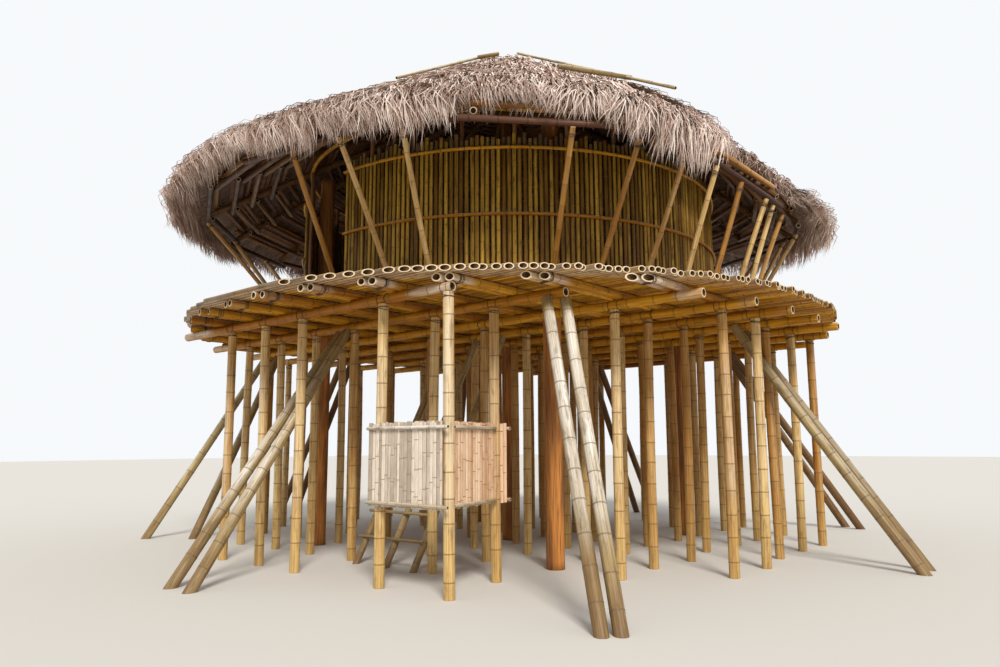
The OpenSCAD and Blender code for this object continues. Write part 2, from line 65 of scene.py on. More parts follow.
# Pale studio floor, a white surround and soft light: one broad sun from behind the viewpoint,
# and an even sky that also reaches in under the platform.
class Value:
    """An output of a node, for arithmetic with ordinary signs and for the steps below."""

    def __init__(self, node, output=0):
        self.tree, self.socket = node.id_data, node.outputs[output]

    def math(self, operation, *others):
        inputs = dict(enumerate((self, *others)))
        return Value(add(self.tree, "ShaderNodeMath", inputs, operation=operation))

    def vector(self, operation, *others, output=0):
        inputs = dict(enumerate((self, *others)))
        return Value(add(self.tree, "ShaderNodeVectorMath", inputs, operation=operation), output)

    def __add__(self, other):
        return self.math("ADD", other)

    def __sub__(self, other):
        return self.math("SUBTRACT", other)

    def __mul__(self, other):
        return self.math("MULTIPLY", other)

    def __truediv__(self, other):
        return self.math("DIVIDE", other)

    def most(self, other):
        return self.math("MAXIMUM", other)

    def scaled(self, by):
        return Value(add(self.tree, "ShaderNodeVectorMath", {0: self, "Scale": by}, operation="SCALE"))

    def xyz(self):
        apart = add(self.tree, "ShaderNodeSeparateXYZ", {0: self})
        return [Value(apart, k) for k in range(3)]

    def fit(self, low, high, to_low=0.0, to_high=1.0, how="SMOOTHSTEP"):
        """Brings a range of values to another range, and holds them there."""
        inputs = {"Value": self, "From Min": low, "From Max": high, "To Min": to_low, "To Max": to_high}
        return Value(add(self.tree, "ShaderNodeMapRange", inputs, interpolation_type=how))

    def mix(self, a, b, how="MIX"):
        """Goes from one colour to another as this value goes from 0 to 1."""
        inputs = {0: self, 6: a, 7: b}
        return Value(add(self.tree, "ShaderNodeMix", inputs, data_type="RGBA", blend_type=how), 2)

    def noise(self, scale, detail=3.0, roughness=0.55):
        inputs = {"Vector": self, "Scale": scale, "Detail": detail, "Roughness": roughness}
        return Value(add(self.tree, "ShaderNodeTexNoise", inputs))

    def stretched(self, by, shift=None):
        """A vector stretched by three numbers, and moved on by a value of the culm."""
        made = self.vector("MULTIPLY", by)
        if shift is None:
            return made
        moved = Value(add(self.tree, "ShaderNodeCombineXYZ", dict.fromkeys("XYZ", shift)))
        return made.vector("ADD", moved.vector("MULTIPLY", (37.0, 91.0, 53.0)))


def add(tree, kind, inputs=None, **settings):
    """Puts a node in a tree, with its settings, and links or sets its inputs."""
    made = tree.nodes.new(kind)
    for name, value in settings.items():
        setattr(made, name, value)
    for name, value in (inputs or {}).items():
        if isinstance(value, bpy.types.Node):
            value = value.outputs[0]
        elif isinstance(value, Value):
            value = value.socket
        if isinstance(value, bpy.types.NodeSocket):
            tree.links.new(value, made.inputs[name])
        else:
            made.inputs[name].default_value = value
    return made


def material(name):
    made = bpy.data.materials.new(name)
    made.use_nodes = True
    made.node_tree.nodes.clear()
    return made, made.node_tree


def surface(tree, colour, roughness, specular, relief=None):
    """Ends a material in one Principled shader. Relief is a height, its depth and its strength."""
    inputs = {"Base Color": colour, "Roughness": roughness, "Specular IOR Level": specular}
    if relief:
        inputs["Normal"] = add(tree, "ShaderNodeBump", dict(zip(("Height", "Distance", "Strength"), relief)))
    add(tree, "ShaderNodeOutputMaterial", {"Surface": add(tree, "ShaderNodeBsdfPrincipled", inputs)})


def plain_behind(tree):
    """1 for rays from the camera, from gloss and through glass, which see the plain surround."""
    path = add(tree, "ShaderNodeLightPath")
    camera, gloss, glass = (Value(path, f"Is {kind} Ray") for kind in ("Camera", "Glossy", "Transmission"))
    return camera.most(gloss).most(glass)


def mesh_of(name, points, faces=(), edges=(), finish=None, **layers):
    """A mesh with its finish and the values on its points, one number or three on each."""
    mesh = bpy.data.meshes.new(name)
    mesh.from_pydata([tuple(point) for point in points], edges, faces)
    if finish:
        mesh.materials.append(finish)
    for label, values in layers.items():
        values = np.asarray(values, np.float32)
        kind, field = ("FLOAT", "value") if values.ndim == 1 else ("FLOAT_VECTOR", "vector")
        mesh.attributes.new(label, kind, "POINT").data.foreach_set(field, values.ravel())
    return mesh


def piece_of(name, mesh):
    made = bpy.data.objects.new(name, mesh)
    scene.collection.objects.link(made)
    return made


floor_size = 90.0
floor_corners = [(x * floor_size, y * floor_size, 0) for x, y in ((-1, -1), (1, -1), (1, 1), (-1, 1))]
pale_floor, tree = material("pale_floor")
surface(tree, (0.64, 0.62, 0.58, 1), 0.9, 0.1)
floor = piece_of("floor", mesh_of("floor", floor_corners, [(0, 1, 2, 3)], finish=pale_floor))

sky = bpy.data.worlds.new("sky")
sky.use_nodes = True
scene.world = sky
sky_tree = sky.node_tree
sky_tree.nodes.clear()
soft_sky, white_surround = (
    add(sky_tree, "ShaderNodeBackground", {"Color": colour, "Strength": strength})
    for colour, strength in (((0.97, 0.98, 1.0, 1), 0.66), ((0.93, 0.95, 0.97, 1), 1.0)))
both = add(sky_tree, "ShaderNodeMixShader", {0: plain_behind(sky_tree), 1: soft_sky, 2: white_surround})
add(sky_tree, "ShaderNodeOutputWorld", {"Surface": both})

sun = bpy.data.lights.new("broad_sun", "SUN")
sun.energy = 3.0
sun.angle = math.radians(16)
sun.color = (1.0, 0.96, 0.89)
sun_lamp = piece_of("broad_sun", sun)
sun_lamp.rotation_euler = (math.radians(49), 0, math.radians(50))


# Bamboo stilts in ten rows, one culm each, cut square and set on the ground under the floor
# beams. A culm is a thin tube with a ring every 25 to 30 cm, where a wall crosses it.
def merged_triangles(node):
    """A node's points, each once, its triangles, and the number of the solid each is on."""
    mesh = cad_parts[node].data
    points = np.empty(len(mesh.vertices) * 3)
    mesh.vertices.foreach_get("co", points)
    corners = np.empty(len(mesh.loops), int)
    mesh.loops.foreach_get("vertex_index", corners)
    points, merged = np.unique(points.reshape(-1, 3).round(5), axis=0, return_inverse=True)
    faces = merged.ravel()[corners].reshape(-1, 3)
    label = np.arange(len(points))
    while True:
        wider = label.copy()
        np.minimum.at(wider, faces, label[faces].min(axis=1)[:, None])
        wider = wider[wider]
        if (wider == label).all():
            return points, faces, label[faces[:, 0]]
        label = wider


def poles_of(node):
    """Start, end, radius, and whether each end is open, for every round pole of a node."""
    points, faces, solid = merged_triangles(node)
    side_on, rim_share, inner_share, same_level = 0.3, 0.9, 0.85, 0.002
    poles = []
    for number in np.unique(solid):
        own = faces[solid == number]
        at = points[np.unique(own)]
        a, b, c = (points[own[:, k]] for k in range(3))
        normal = np.cross(b - a, c - a)
        area = np.linalg.norm(normal, axis=1) + 1e-12
        normal /= area[:, None]
        axis = np.linalg.svd(at - at.mean(axis=0), full_matrices=False)[2][0]
        side = np.abs(normal @ axis) < side_on
        axis = np.linalg.eigh((normal[side] * area[side, None]).T @ normal[side])[1][:, 0]
        axis *= 1 if axis[np.argmax(np.abs(axis))] > 0 else -1
        across = np.linalg.svd(axis[None])[2][1:]
        flat = at @ across.T
        rough = (flat.min(axis=0) + flat.max(axis=0)) / 2
        reach = np.linalg.norm(flat - rough, axis=1)
        rim = flat[reach > rim_share * reach.max()]
        fit = np.linalg.lstsq(np.c_[2 * rim, np.ones(len(rim))], (rim ** 2).sum(axis=1), rcond=None)[0]
        centre = fit[:2]
        radius = math.sqrt(fit[2] + centre @ centre)
        along = at @ axis
        low, high = along.min(), along.max()
        inner = np.linalg.norm(flat - centre, axis=1) < inner_share * radius
        opened = [bool((inner & (np.abs(along - end) < same_level)).any()) for end in (low, high)]
        middle = centre @ across
        poles.append((middle + low * axis, middle + high * axis, radius, *opened))
    return sorted(poles, key=lambda pole: tuple(pole[0].round(2)))


# Stations of a ring along a culm, in ring halves: place, swelling and darkness
ring_ridge = 0.045
ring_profiles = {0: [], 3: [(-1.6, 0, 0.25), (0, ring_ridge, 1), (1.6, 0, 0.25)],
                 5: [(-2.2, 0, 0.15), (-0.8, ring_ridge * 0.7, 0.5), (0, -ring_ridge * 0.3, 1),
                     (0.7, ring_ridge, 0.75), (2.2, 0, 0.1)]}


def culm_lines(name, poles, seed, pitch=0.29, bow=0.0, taper=0.05, stations=5):
    """A line for each culm and for the inside of each open end, with a point wherever the
    profile changes, and the facts of the culm on every point. A pole may also say how its ends
    are cut: across which way, and by how much, each end runs back."""
    draw = np.random.default_rng(seed)
    hollow, wall_share, uncut = 0.09, 0.26, (0, 0, 0)
    lip_out, edge_in, rounded = 0.0005, 0.002, 0.94
    rows, edges = [], []

    def lay(line):
        first = len(rows)
        for place, r, along, mark, cut in line:
            centre = start + axis * place + lean * math.sin(math.pi * place / length)
            rows.append((*centre, r, along, *mark, tone, 0.0 if stations else pitch, chance, *axis, *cut))
        edges.extend((k, k + 1) for k in range(first, len(rows) - 1))

    for start, end, radius, low_open, high_open, *cuts in poles:
        start, end = np.asarray(start, float), np.asarray(end, float)
        length = np.linalg.norm(end - start)
        axis = (end - start) / length
        across = np.linalg.svd(axis[None])[2][1:]
        lean = (across * draw.uniform(-bow, bow, 2)[:, None]).sum(axis=0)
        slim = taper * draw.uniform(0.3, 1) * (1 if abs(axis[2]) > 0.4 else draw.choice([-1, 1]))
        tone, chance = draw.random(2)
        low_cut, high_cut = cuts or (uncut, uncut)
        spaces = pitch * draw.uniform(0.3, 1), pitch * draw.uniform(0.85, 1.15, int(length / pitch) + 3)
        rings = spaces[0] + np.cumsum(spaces[1])
        rings = np.r_[rings[0] - pitch, rings] if rings[0] > 1.5 * pitch else rings
        half = 0.11 * radius + 0.003
        spare = 0.012 + radius * np.abs((low_cut, high_cut)).max()
        marks = [(s + k * half, 1 + swell, dark) for s in rings for k, swell, dark in ring_profiles[stations]]
        marks = [mark for mark in marks if spare < mark[0] < length - spare]
        if bow and not stations:
            marks = [(length * share, 1, 0) for share in (0.2, 0.5, 0.8)]
        low_girth, high_girth = (radius * (1 + slim * (0.5 - s / length)) for s in (0, length))
        low_lip, high_lip = ((girth - wall_share * radius) * opened for girth, opened in
                             ((low_girth, low_open), (high_girth, high_open)))
        line = [(s, r, max(s, 0), (0, pale, 0), low_cut) for s, r, pale in (
            (-lip_out, low_lip, 1.0 if low_open else 0.5), (0.0, low_girth * rounded, 0.6),
            (edge_in, low_girth, 0.2))]
        line += [(s, radius * (1 + slim * (0.5 - s / length)) * swell, s, (dark, 0, 0), uncut)
                 for s, swell, dark in marks]
        line += [(s, r, s, (0, pale, 0), high_cut) for s, r, pale in (
            (length - edge_in, high_girth, 0.2), (length - lip_out, high_girth * rounded, 0.6),
            (length, high_lip, 1.0 if high_open else 0.5))]
        lay(line)
        for opened, end_at, mouth, way, lip, cut in ((low_open, 0.0, -lip_out, 1, low_lip, low_cut),
                                                     (high_open, length, length, -1, high_lip, high_cut)):
            if opened:
                deep = end_at + way * hollow
                tube = [(mouth, lip, end_at, (0, 1, 1), cut),
                        (end_at + way * 0.004, lip, end_at, (0, 0.3, 1), cut),
                        (deep, lip * 0.96, deep, (0, 0, 1), cut),
                        (deep + way * 0.003, 0.0, deep, (0, 0, 1), cut)]
                lay(tube[::way])
    return lines_mesh(name, rows, edges)


def lines_mesh(name, rows, edges):
    """Lines as a mesh of edges: place, thickness, distance along, marks, culm, axis and cut."""
    rows = np.array(rows)
    return mesh_of(name, rows[:, :3], edges=edges, thickness=rows[:, 3], along=rows[:, 4], marks=rows[:, 5:8],
                   culm=rows[:, 8:11], axis=rows[:, 11:14], cut=rows[:, 14:17])


def new_group(name, kind, inputs, outputs):
    group = bpy.data.node_groups.new(name, kind)
    for direction, sockets in (("INPUT", inputs), ("OUTPUT", outputs)):
        for label, socket in sockets.items():
            group.interface.new_socket(label, in_out=direction, socket_type="NodeSocket" + socket)
    return group, group.nodes.new("NodeGroupInput").outputs, group.nodes.new("NodeGroupOutput").inputs


def named(tree, attribute, kind="FLOAT"):
    return Value(add(tree, "GeometryNodeInputNamedAttribute", {"Name": attribute}, data_type=kind))


def compared(value, operation, limit):
    return add(value.tree, "FunctionNodeCompare", {0: value, 1: limit},
               data_type="FLOAT", operation=operation)


def captured(tree, geometry, value):
    """A geometry that keeps a vector's value as it is here, for later steps."""
    kept = add(tree, "GeometryNodeCaptureAttribute", {"Geometry": geometry})
    kept.capture_items.new("VECTOR", "kept")
    tree.links.new(value.socket, kept.inputs[1])
    return kept


def ended(tree, geometry, finish, result):
    """Ends a tree with real geometry in one material."""
    real = add(tree, "GeometryNodeRealizeInstances", {"Geometry": geometry})
    done = add(tree, "GeometryNodeSetMaterial", {"Geometry": real, "Material": finish})
    tree.links.new(done.outputs[0], result[0])
    return tree


def grow_tree():
    """Grows round culms along lines: swept, cut level at the ground, hollow ends turned inside out."""
    tree, given, result = new_group("culms", "GeometryNodeTree", {"Lines": "Geometry", "Sides": "Int",
                                    "Skin": "Material"}, {"Culms": "Geometry"})
    place = Value(add(tree, "GeometryNodeInputPosition"))
    thickness, axis = named(tree, "thickness"), named(tree, "axis", "FLOAT_VECTOR")
    line = captured(tree, add(tree, "GeometryNodeMeshToCurve", {"Mesh": given["Lines"]}), place)
    circle = captured(tree, add(tree, "GeometryNodeCurvePrimitiveCircle",
                                {"Resolution": given["Sides"], "Radius": 1.0}), place)
    swept = add(tree, "GeometryNodeCurveToMesh", {"Curve": line, "Profile Curve": circle, "Scale": thickness})
    # An end that is sawn at a slant runs back along the culm on one side
    off = place.vector("SUBTRACT", Value(line, 1))
    back = off.vector("DOT_PRODUCT", named(tree, "cut", "FLOAT_VECTOR"), output="Value")
    sawn = add(tree, "GeometryNodeSetPosition", {"Geometry": swept, "Offset": axis.scaled(back)})
    # The grain's own coordinates: round the culm, and along it
    length = add(tree, "ShaderNodeCombineXYZ", {"Z": named(tree, "along")})
    grain = Value(circle, 1).scaled(thickness).vector("ADD", length)
    stored = add(tree, "GeometryNodeStoreNamedAttribute", {"Geometry": sawn, "Name": "grain", "Value": grain},
                 data_type="FLOAT_VECTOR", domain="POINT")
    # Whatever is below the ground slides back along its culm
    height = place.xyz()[2]
    shift = axis.scaled(height / axis.xyz()[2] * -1.0)
    level = add(tree, "GeometryNodeSetPosition", {"Geometry": stored, "Offset": shift,
                                                  "Selection": compared(height, "LESS_THAN", 0.0)})
    hollow = compared(named(tree, "marks", "FLOAT_VECTOR").xyz()[2], "GREATER_THAN", 0.5)
    turned = add(tree, "GeometryNodeFlipFaces", {"Mesh": level, "Selection": hollow})
    closed = add(tree, "GeometryNodeMergeByDistance", {"Geometry": turned, "Distance": 0.0002})
    smooth = add(tree, "GeometryNodeSetShadeSmooth", {"Geometry": closed, "Shade Smooth": True})
    sharp = compared(Value(add(tree, "GeometryNodeInputMeshEdgeAngle")), "GREATER_THAN", 0.85)
    crisp = add(tree, "GeometryNodeSetShadeSmooth", {"Geometry": smooth, "Selection": sharp,
                                                     "Shade Smooth": False}, domain="EDGE")
    return ended(tree, crisp, given["Skin"], result)


def applied(name, mesh, tree, inputs):
    """What a tree makes of a mesh, as a plain mesh."""
    source = piece_of(name + "_source", mesh)
    modifier = source.modifiers.new("tree", "NODES")
    modifier.node_group = tree
    for item in tree.interface.items_tree:
        if item.in_out == "INPUT" and item.name in inputs:
            modifier[item.identifier] = inputs[item.name]
    result = bpy.data.meshes.new_from_object(source.evaluated_get(bpy.context.evaluated_depsgraph_get()))
    bpy.data.objects.remove(source)
    result.name = name
    return result


def fixed(piece, slot, replaced=()):
    """Fixes a piece to the house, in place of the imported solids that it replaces."""
    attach(piece, "root")
    if replaced:
        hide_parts(*replaced)


def grown(name, lines, slot, sides, skin, replaced=()):
    """Culms grown along lines, as a piece of the house."""
    mesh = applied(name, lines, culms, {"Sides": sides, "Skin": skin})
    fixed(piece_of(name, mesh), slot, replaced)


def attribute(tree, name, output="Vector"):
    return Value(add(tree, "ShaderNodeAttribute", attribute_name=name), output)


def bamboo_skin():
    """Colour, roughness and relief of a culm's skin, from the facts that each culm carries."""
    tree, given, result = new_group(
        "bamboo_skin", "ShaderNodeTree",
        {**dict.fromkeys(("Light", "Dark", "Foot", "Ring", "Stain and groove shade", "Bleached and sunlit"), "Color"),
         **dict.fromkeys(("Foot height", "Streaks", "Stains", "Bleach and sunlight", "Flat groove shade and dirt",
                          "Upright groove shade and dirt"), "Float")},
        {"Color": "Color", "Roughness": "Float", "Relief": "Float"})
    swept_ring, cut, inside = attribute(tree, "marks").xyz()
    tone, ring_pitch, chance = attribute(tree, "culm").xyz()
    grain = attribute(tree, "grain")
    where = add(tree, "ShaderNodeTexCoord")
    place, facing = Value(where, "Object"), Value(where, "Normal")
    _, depth, height = place.xyz()
    up = facing.xyz()[2]
    patches = grain.stretched((9, 9, 1.6), chance).noise(1.0, 3)
    colour = (tone * 0.75 + patches * 0.9).fit(0.35, 1.3).mix(given["Light"], given["Dark"])
    # Greener towards the foot, where the culm is youngest in colour
    low = height.fit(given["Foot height"], 0.0, 0.0, 0.85, "LINEAR")
    colour = (low * patches.fit(0.3, 0.7, 0.55, 1.0)).mix(colour, given["Foot"])
    # Paler where the weather bleaches and where the sun falls, real bleaching and painted sunlight together:
    # the platform's top, and the outer side and the top of what stands near the rim on the sunward, open
    # side. The heads of the stilts keep their darker colour as painted shade under the platform, and their
    # feet stay unbleached.
    on_plan = place.vector("MULTIPLY", (1, 1, 0))
    outer = on_plan.vector("LENGTH", output="Value")
    outward = on_plan.vector("DOT_PRODUCT", facing, output="Value") / outer
    shaded = height - outer.fit(4.8, 5.1) * 1.4
    below = height.fit(0.5, 1.3) * shaded.fit(2.3, 3.1, 1.0, 0.0)
    open_and_sunward_side = depth.fit(-3.2, 0.8, 1.0, 0.3)
    reached_by_weather_and_sun = outer.fit(3.4, 4.9) * below * open_and_sunward_side * height.fit(0.2, 1.2, 0.3, 1.0)
    weather_and_sunlight = (up.fit(0.1, 0.85) * reached_by_weather_and_sun.most(height.fit(3.4, 3.5))).most(outward.fit(-0.3, 0.8) * reached_by_weather_and_sun)
    weather_and_sunlight = weather_and_sunlight * patches.fit(0.3, 0.65, 0.5, 1.0)
    colour = (weather_and_sunlight * given["Bleach and sunlight"]).mix(colour, given["Bleached and sunlit"])
    # Long fibres, and grey or dark stains that run along them
    fibre = grain.stretched((260, 260, 3.0), chance).noise(1.0, 2)
    streak = grain.stretched((70, 70, 1.1), chance).noise(1.0, 3, 0.6)
    colour = (streak.fit(0.35, 0.72) * given["Streaks"]).mix(colour, given["Dark"], "MULTIPLY")
    blot = grain.stretched((16, 16, 3.2), chance).noise(1.3, 5, 0.65)
    colour = (blot.fit(0.5, 0.68) * given["Stains"]).mix(colour, given["Stain and groove shade"])
    # Painted shade and dirt in the grooves between canes that lie or stand side by side: the sides that face
    # a neighbour are darkened
    between = outward.math("ABSOLUTE").fit(0.3, 0.85, 1.0, 0.0) * given["Upright groove shade and dirt"]
    under = up.math("ABSOLUTE").fit(0.3, 0.85, 1.0, 0.0) * given["Flat groove shade and dirt"]
    groove_shade_and_dirt = between.most(under) * cut.fit(0.1, 0.4, 1.0, 0.0)
    colour = groove_shade_and_dirt.mix(colour, given["Stain and groove shade"])
    # Rings as they were swept, or else drawn every so far along the culm
    spaced = (grain.xyz()[2] / ring_pitch.most(0.01) + chance * 7.3).math("FRACT")
    drawn = (spaced - 0.5).math("ABSOLUTE").fit(0.012, 0.035, 1.0, 0.0) * ring_pitch.fit(0.0, 0.1)
    colour = (swept_ring.most(drawn).fit(0.35, 1.0) * 0.75).mix(colour, given["Ring"])
    # The cut end is pale, and the inside of the tube is dark brown, its own colour darkened with painted
    # shade
    colour = inside.mix(colour, (0.13, 0.07, 0.03, 1))
    colour = cut.fit(0.35, 1.0, 0.0, 0.9).mix(colour, (0.88, 0.72, 0.48, 1))
    relief = fibre * 0.5 + streak * 0.6 + drawn * 2.0
    roughness = blot.fit(0.4, 0.75, 0.0, 0.22) + 0.42
    for label, value in (("Color", colour), ("Roughness", roughness), ("Relief", relief)):
        tree.links.new(value.socket, result[label])
    return tree


skin_group = bamboo_skin()


# The bleach amount and colour make the top and the sunward outer side paler: real bleaching and painted
# sunlight together.
# The two groove amounts darken the grooves between canes with painted shade and dirt, in the stain colour.
def bamboo(name, light, dark, foot, ring, stain_and_groove_shade, foot_height=0.01, streaks=0.6, stains=0.6, bleach_and_sunlight=0.75,
           bleached=(0.72, 0.63, 0.49), flat_groove_shade_and_dirt=0.0, upright_groove_shade_and_dirt=0.0):
    """A finish of bamboo: the shared skin with this bundle's own colours."""
    made, tree = material(name)
    colours = {"Light": light, "Dark": dark, "Foot": foot, "Ring": ring, "Stain and groove shade": stain_and_groove_shade, "Bleached and sunlit": bleached}
    skin = add(tree, "ShaderNodeGroup", {
        **{label: (*colour, 1) for label, colour in colours.items()}, "Foot height": foot_height,
        "Streaks": streaks, "Stains": stains, "Bleach and sunlight": bleach_and_sunlight, "Flat groove shade and dirt": flat_groove_shade_and_dirt,
        "Upright groove shade and dirt": upright_groove_shade_and_dirt}, node_tree=skin_group)
    surface(tree, skin.outputs["Color"], skin.outputs["Roughness"], 0.22,
            (skin.outputs["Relief"], 0.0012, 0.8))
    return made


culms = grow_tree()
golden = bamboo("golden_bamboo", (0.76, 0.56, 0.25), (0.42, 0.20, 0.035), (0.56, 0.38, 0.14),
                (0.18, 0.10, 0.04), (0.20, 0.12, 0.045), foot_height=1.2, stains=0.55)


def dress(node, seed, skin, slot, sides, **profile):
    """Grows the culms of one node, in place of its plain poles."""
    lines = culm_lines(node + "_lines", poles_of(node), seed, **profile)
    grown(node + "_culms", lines, slot, sides, skin, [node])


for row in range(1, 11):
    dress(f"stilts_row_{row}", 100 + row, golden, "bamboo", 16 if row < 3 else 10, bow=0.012)


# Raking struts in pairs, of thick old bamboo, grey from real bleaching by the weather and from painted
# sunlight.
# They lean in from the ground, and their heads, notched to the floor beams, keep a darker colour as painted
# shade.
silvered = bamboo("silvered_bamboo", (0.50, 0.38, 0.18), (0.22, 0.14, 0.05), (0.20, 0.11, 0.05),
                  (0.14, 0.09, 0.05), (0.13, 0.08, 0.04), foot_height=1.1, streaks=0.5, bleach_and_sunlight=1.0,
                  bleached=(0.78, 0.73, 0.65))
# The back struts, on the side away from the sun, get a browner, less bleached skin: their own colour and
# painted shade together.
browned_and_shaded = bamboo("browned_bamboo", (0.40, 0.25, 0.11), (0.18, 0.09, 0.03), (0.16, 0.08, 0.035),
                 (0.10, 0.06, 0.03), (0.09, 0.055, 0.03), foot_height=1.1, streaks=0.5, bleach_and_sunlight=0.5)
dress("front_struts", 131, silvered, "weathered_bamboo", 16, bow=0.015, pitch=0.33)
dress("back_struts", 132, browned_and_shaded, "weathered_bamboo", 16, bow=0.015, pitch=0.33)


# Floor beams along the platform and pairs of joists across them, the joists' open ends in view
# under the rim. Each lies in the saddle of the one below and is tied with cord.
amber = bamboo("amber_bamboo", (0.74, 0.38, 0.022), (0.36, 0.13, 0.005), (0.33, 0.33, 0.11),
               (0.10, 0.045, 0.010), (0.15, 0.075, 0.015), stains=0.5, bleach_and_sunlight=0.9)
dress("floor_beams", 141, amber, "bamboo", 14, pitch=0.34, stations=3)
platform_radius, steepest_slant = 5.3, 1.8


def sawn(node, seed, sides, skin, **profile):
    """Culms whose ends were sawn off along the platform's rim once they were laid."""
    poles = []
    for start, end, radius, *_ in poles_of(node):
        axis = (end - start) / np.linalg.norm(end - start)
        across = np.array([abs(axis[1]), abs(axis[0]), 0])
        place = start @ across
        slant = place / math.sqrt(max(platform_radius ** 2 - place ** 2, 0.01))
        slant = np.clip(slant, -steepest_slant, steepest_slant)
        at_rim = [np.linalg.norm(point[:2]) > 0.9 * platform_radius for point in (start, end)]
        back = abs(slant) * radius
        poles.append((start + axis * back * at_rim[0], end - axis * back * at_rim[1], radius, *at_rim,
                      tuple(across * slant * at_rim[0]), tuple(-across * slant * at_rim[1])))
    lines = culm_lines(node + "_lines", poles, seed, stations=0, **profile)
    grown(node + "_culms", lines, "bamboo", sides, skin, [node])


sawn("floor_joists", 142, 16, amber, pitch=0.33)


# Dark cord of palm fibre, wound where a stilt meets its beam, round the ends of each pair of
# joists and round the heads of the props.
cord, tree = material("palm_cord")
fibres = Value(add(tree, "ShaderNodeTexCoord"), "Object").noise(60.0)
surface(tree, fibres.mix((0.20, 0.13, 0.08, 1), (0.05, 0.03, 0.02, 1)), 0.85, 0.2)
draw = np.random.default_rng(145)
cord_radius, cord_corners = 0.0065, 10
rows, edges = [], []


def wind(centre, wide, tall, along, turns, gap=0.0):
    """Turns of cord side by side round a pole, or round two that lie a gap apart."""
    centre, wide, tall, along = (np.asarray(v, float) for v in (centre, wide, tall, along))
    for turn in range(turns):
        first = len(rows)
        place = centre + along * (turn - (turns - 1) / 2) * cord_radius * 2.3
        skew = along * draw.uniform(-0.02, 0.02)
        for a in np.linspace(0.3, 0.3 + 2 * math.pi, cord_corners, endpoint=False):
            flat = wide * math.cos(a) + wide / np.linalg.norm(wide) * math.copysign(gap / 2, math.cos(a))
            point = place + flat + tall * math.sin(a) + skew * math.cos(a)
            rows.append((*point, cord_radius, a, *[0] * 12))
        edges.extend((first + k, first + (k + 1) % cord_corners) for k in range(cord_corners))


x_way, y_way, z_way = np.eye(3)
slack = 0.003
beams = poles_of("floor_beams")
for row in range(1, 11):
    for start, end, radius, *_ in poles_of(f"stilts_row_{row}"):
        head = end if end[2] > start[2] else start
        beam = min(beams, key=lambda pole: abs(pole[0][1] - head[1]))
        girth = beam[2] + 0.004
        for side in (-1, 1):
            wind((head[0] + side * (radius + 0.012), *beam[0][1:]), y_way * girth, z_way * girth, x_way, 1)
        wind(head - z_way * 0.05, x_way * (radius + slack), y_way * (radius + slack), z_way, 2)
joists = sorted(poles_of("floor_joists"), key=lambda pole: pole[0][0])
for one, other in zip(joists[::2], joists[1::2]):
    girth = one[2] + slack
    for k, side in ((0, 1), (1, -1)):
        place = ((one[0][0] + other[0][0]) / 2, (one[k][1] + other[k][1]) / 2 + side * 0.22,
                 (one[0][2] + other[0][2]) / 2)
        wind(place, x_way * girth, z_way * girth, y_way, 4, other[0][0] - one[0][0])
for start, end, radius, *_ in poles_of("eave_props"):
    head, axis = (end, end - start) if end[2] > start[2] else (start, start - end)
    axis = axis / np.linalg.norm(axis)
    wide, tall = np.linalg.svd(axis[None])[2][1:] * (radius + slack)
    wind(head - axis * 0.09, wide, tall, axis, 3)
grown("cord_lashings", lines_mesh("cord_lines", rows, edges), "thatch", 3, cord)


# The platform: canes laid side by side on the joists and sawn off once they were laid, their open
# ends along the round rim. The grooves between them are darkened with painted shade and dirt.
deck_skin = bamboo("deck_bamboo", (0.80, 0.42, 0.025), (0.32, 0.12, 0.005), (0.33, 0.33, 0.11),
                   (0.14, 0.06, 0.01), (0.05, 0.024, 0.006), stains=0.55, flat_groove_shade_and_dirt=0.95)
for strip in range(1, 5):
    sawn(f"deck_{strip}", 150 + strip, 12, deck_skin, pitch=0.36, taper=0.03)


# The round wall of old upright canes, tied side by side to the rails, with uneven tops and with painted
# shade and dirt in the grooves between them.
wall_skin = bamboo("wall_bamboo", (0.66, 0.40, 0.055), (0.17, 0.075, 0.006), (0.3, 0.2, 0.1),
                   (0.20, 0.11, 0.035), (0.045, 0.026, 0.010), stains=0.7, upright_groove_shade_and_dirt=0.85)
for segment in range(1, 7):
    dress(f"wall_{segment}", 160 + segment, wall_skin, "wall_bamboo", 10, pitch=0.30, stations=0, bow=0.008,
          taper=0.12)


# Studs inside the wall, the bent plate on their heads, two bent rails outside the canes, and the
# bent ring at the crown, where the rafters meet.
def ring_line(node, thickness, first, sweep, levels):
    """Bent culms round the house, on the circle that the node's box gives."""
    low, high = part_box(node)
    radius = (high.x - low.x) / 2 - thickness
    reach, closed = math.radians(sweep) * radius, sweep >= 360
    draw = np.random.default_rng(175)
    pitch, ring_half, swell = 0.31, 0.024, 1.06
    rows, edges = [], []
    for level in range(levels):
        z = low.z + thickness + (high.z - low.z - 2 * thickness) * level / max(levels - 1, 1)
        line = [] if closed else [(0.0, 0.0), (0.001, 1.0)]
        for k in range(int(2 * math.pi * radius * sweep / 360 / pitch)):
            s = (k + draw.uniform(0.35, 0.65)) * pitch
            line += [(s - ring_half, 1.0), (s, swell), (s + ring_half, 1.0), (s + pitch / 3, 1.0),
                     (s + pitch * 0.6, 1.0)]
        line = [(s, r) for s, r in line if s < reach - 0.02]
        line += [] if closed else [(reach - 0.001, 1.0), (reach, 0.0)]
        first_row = len(rows)
        tone, chance = draw.random(2)
        for s, r in line:
            a = math.radians(first) + s / radius
            rows.append((radius * math.cos(a), radius * math.sin(a), z, r * thickness, s, float(r == swell),
                         0, 0, tone, 0, chance, -math.sin(a), math.cos(a), 0, 0, 0, 0))
        edges += [(k, k + 1) for k in range(first_row, len(rows) - 1)]
        edges += [(len(rows) - 1, first_row)] if closed else []
    return lines_mesh(node + "_lines", rows, edges)


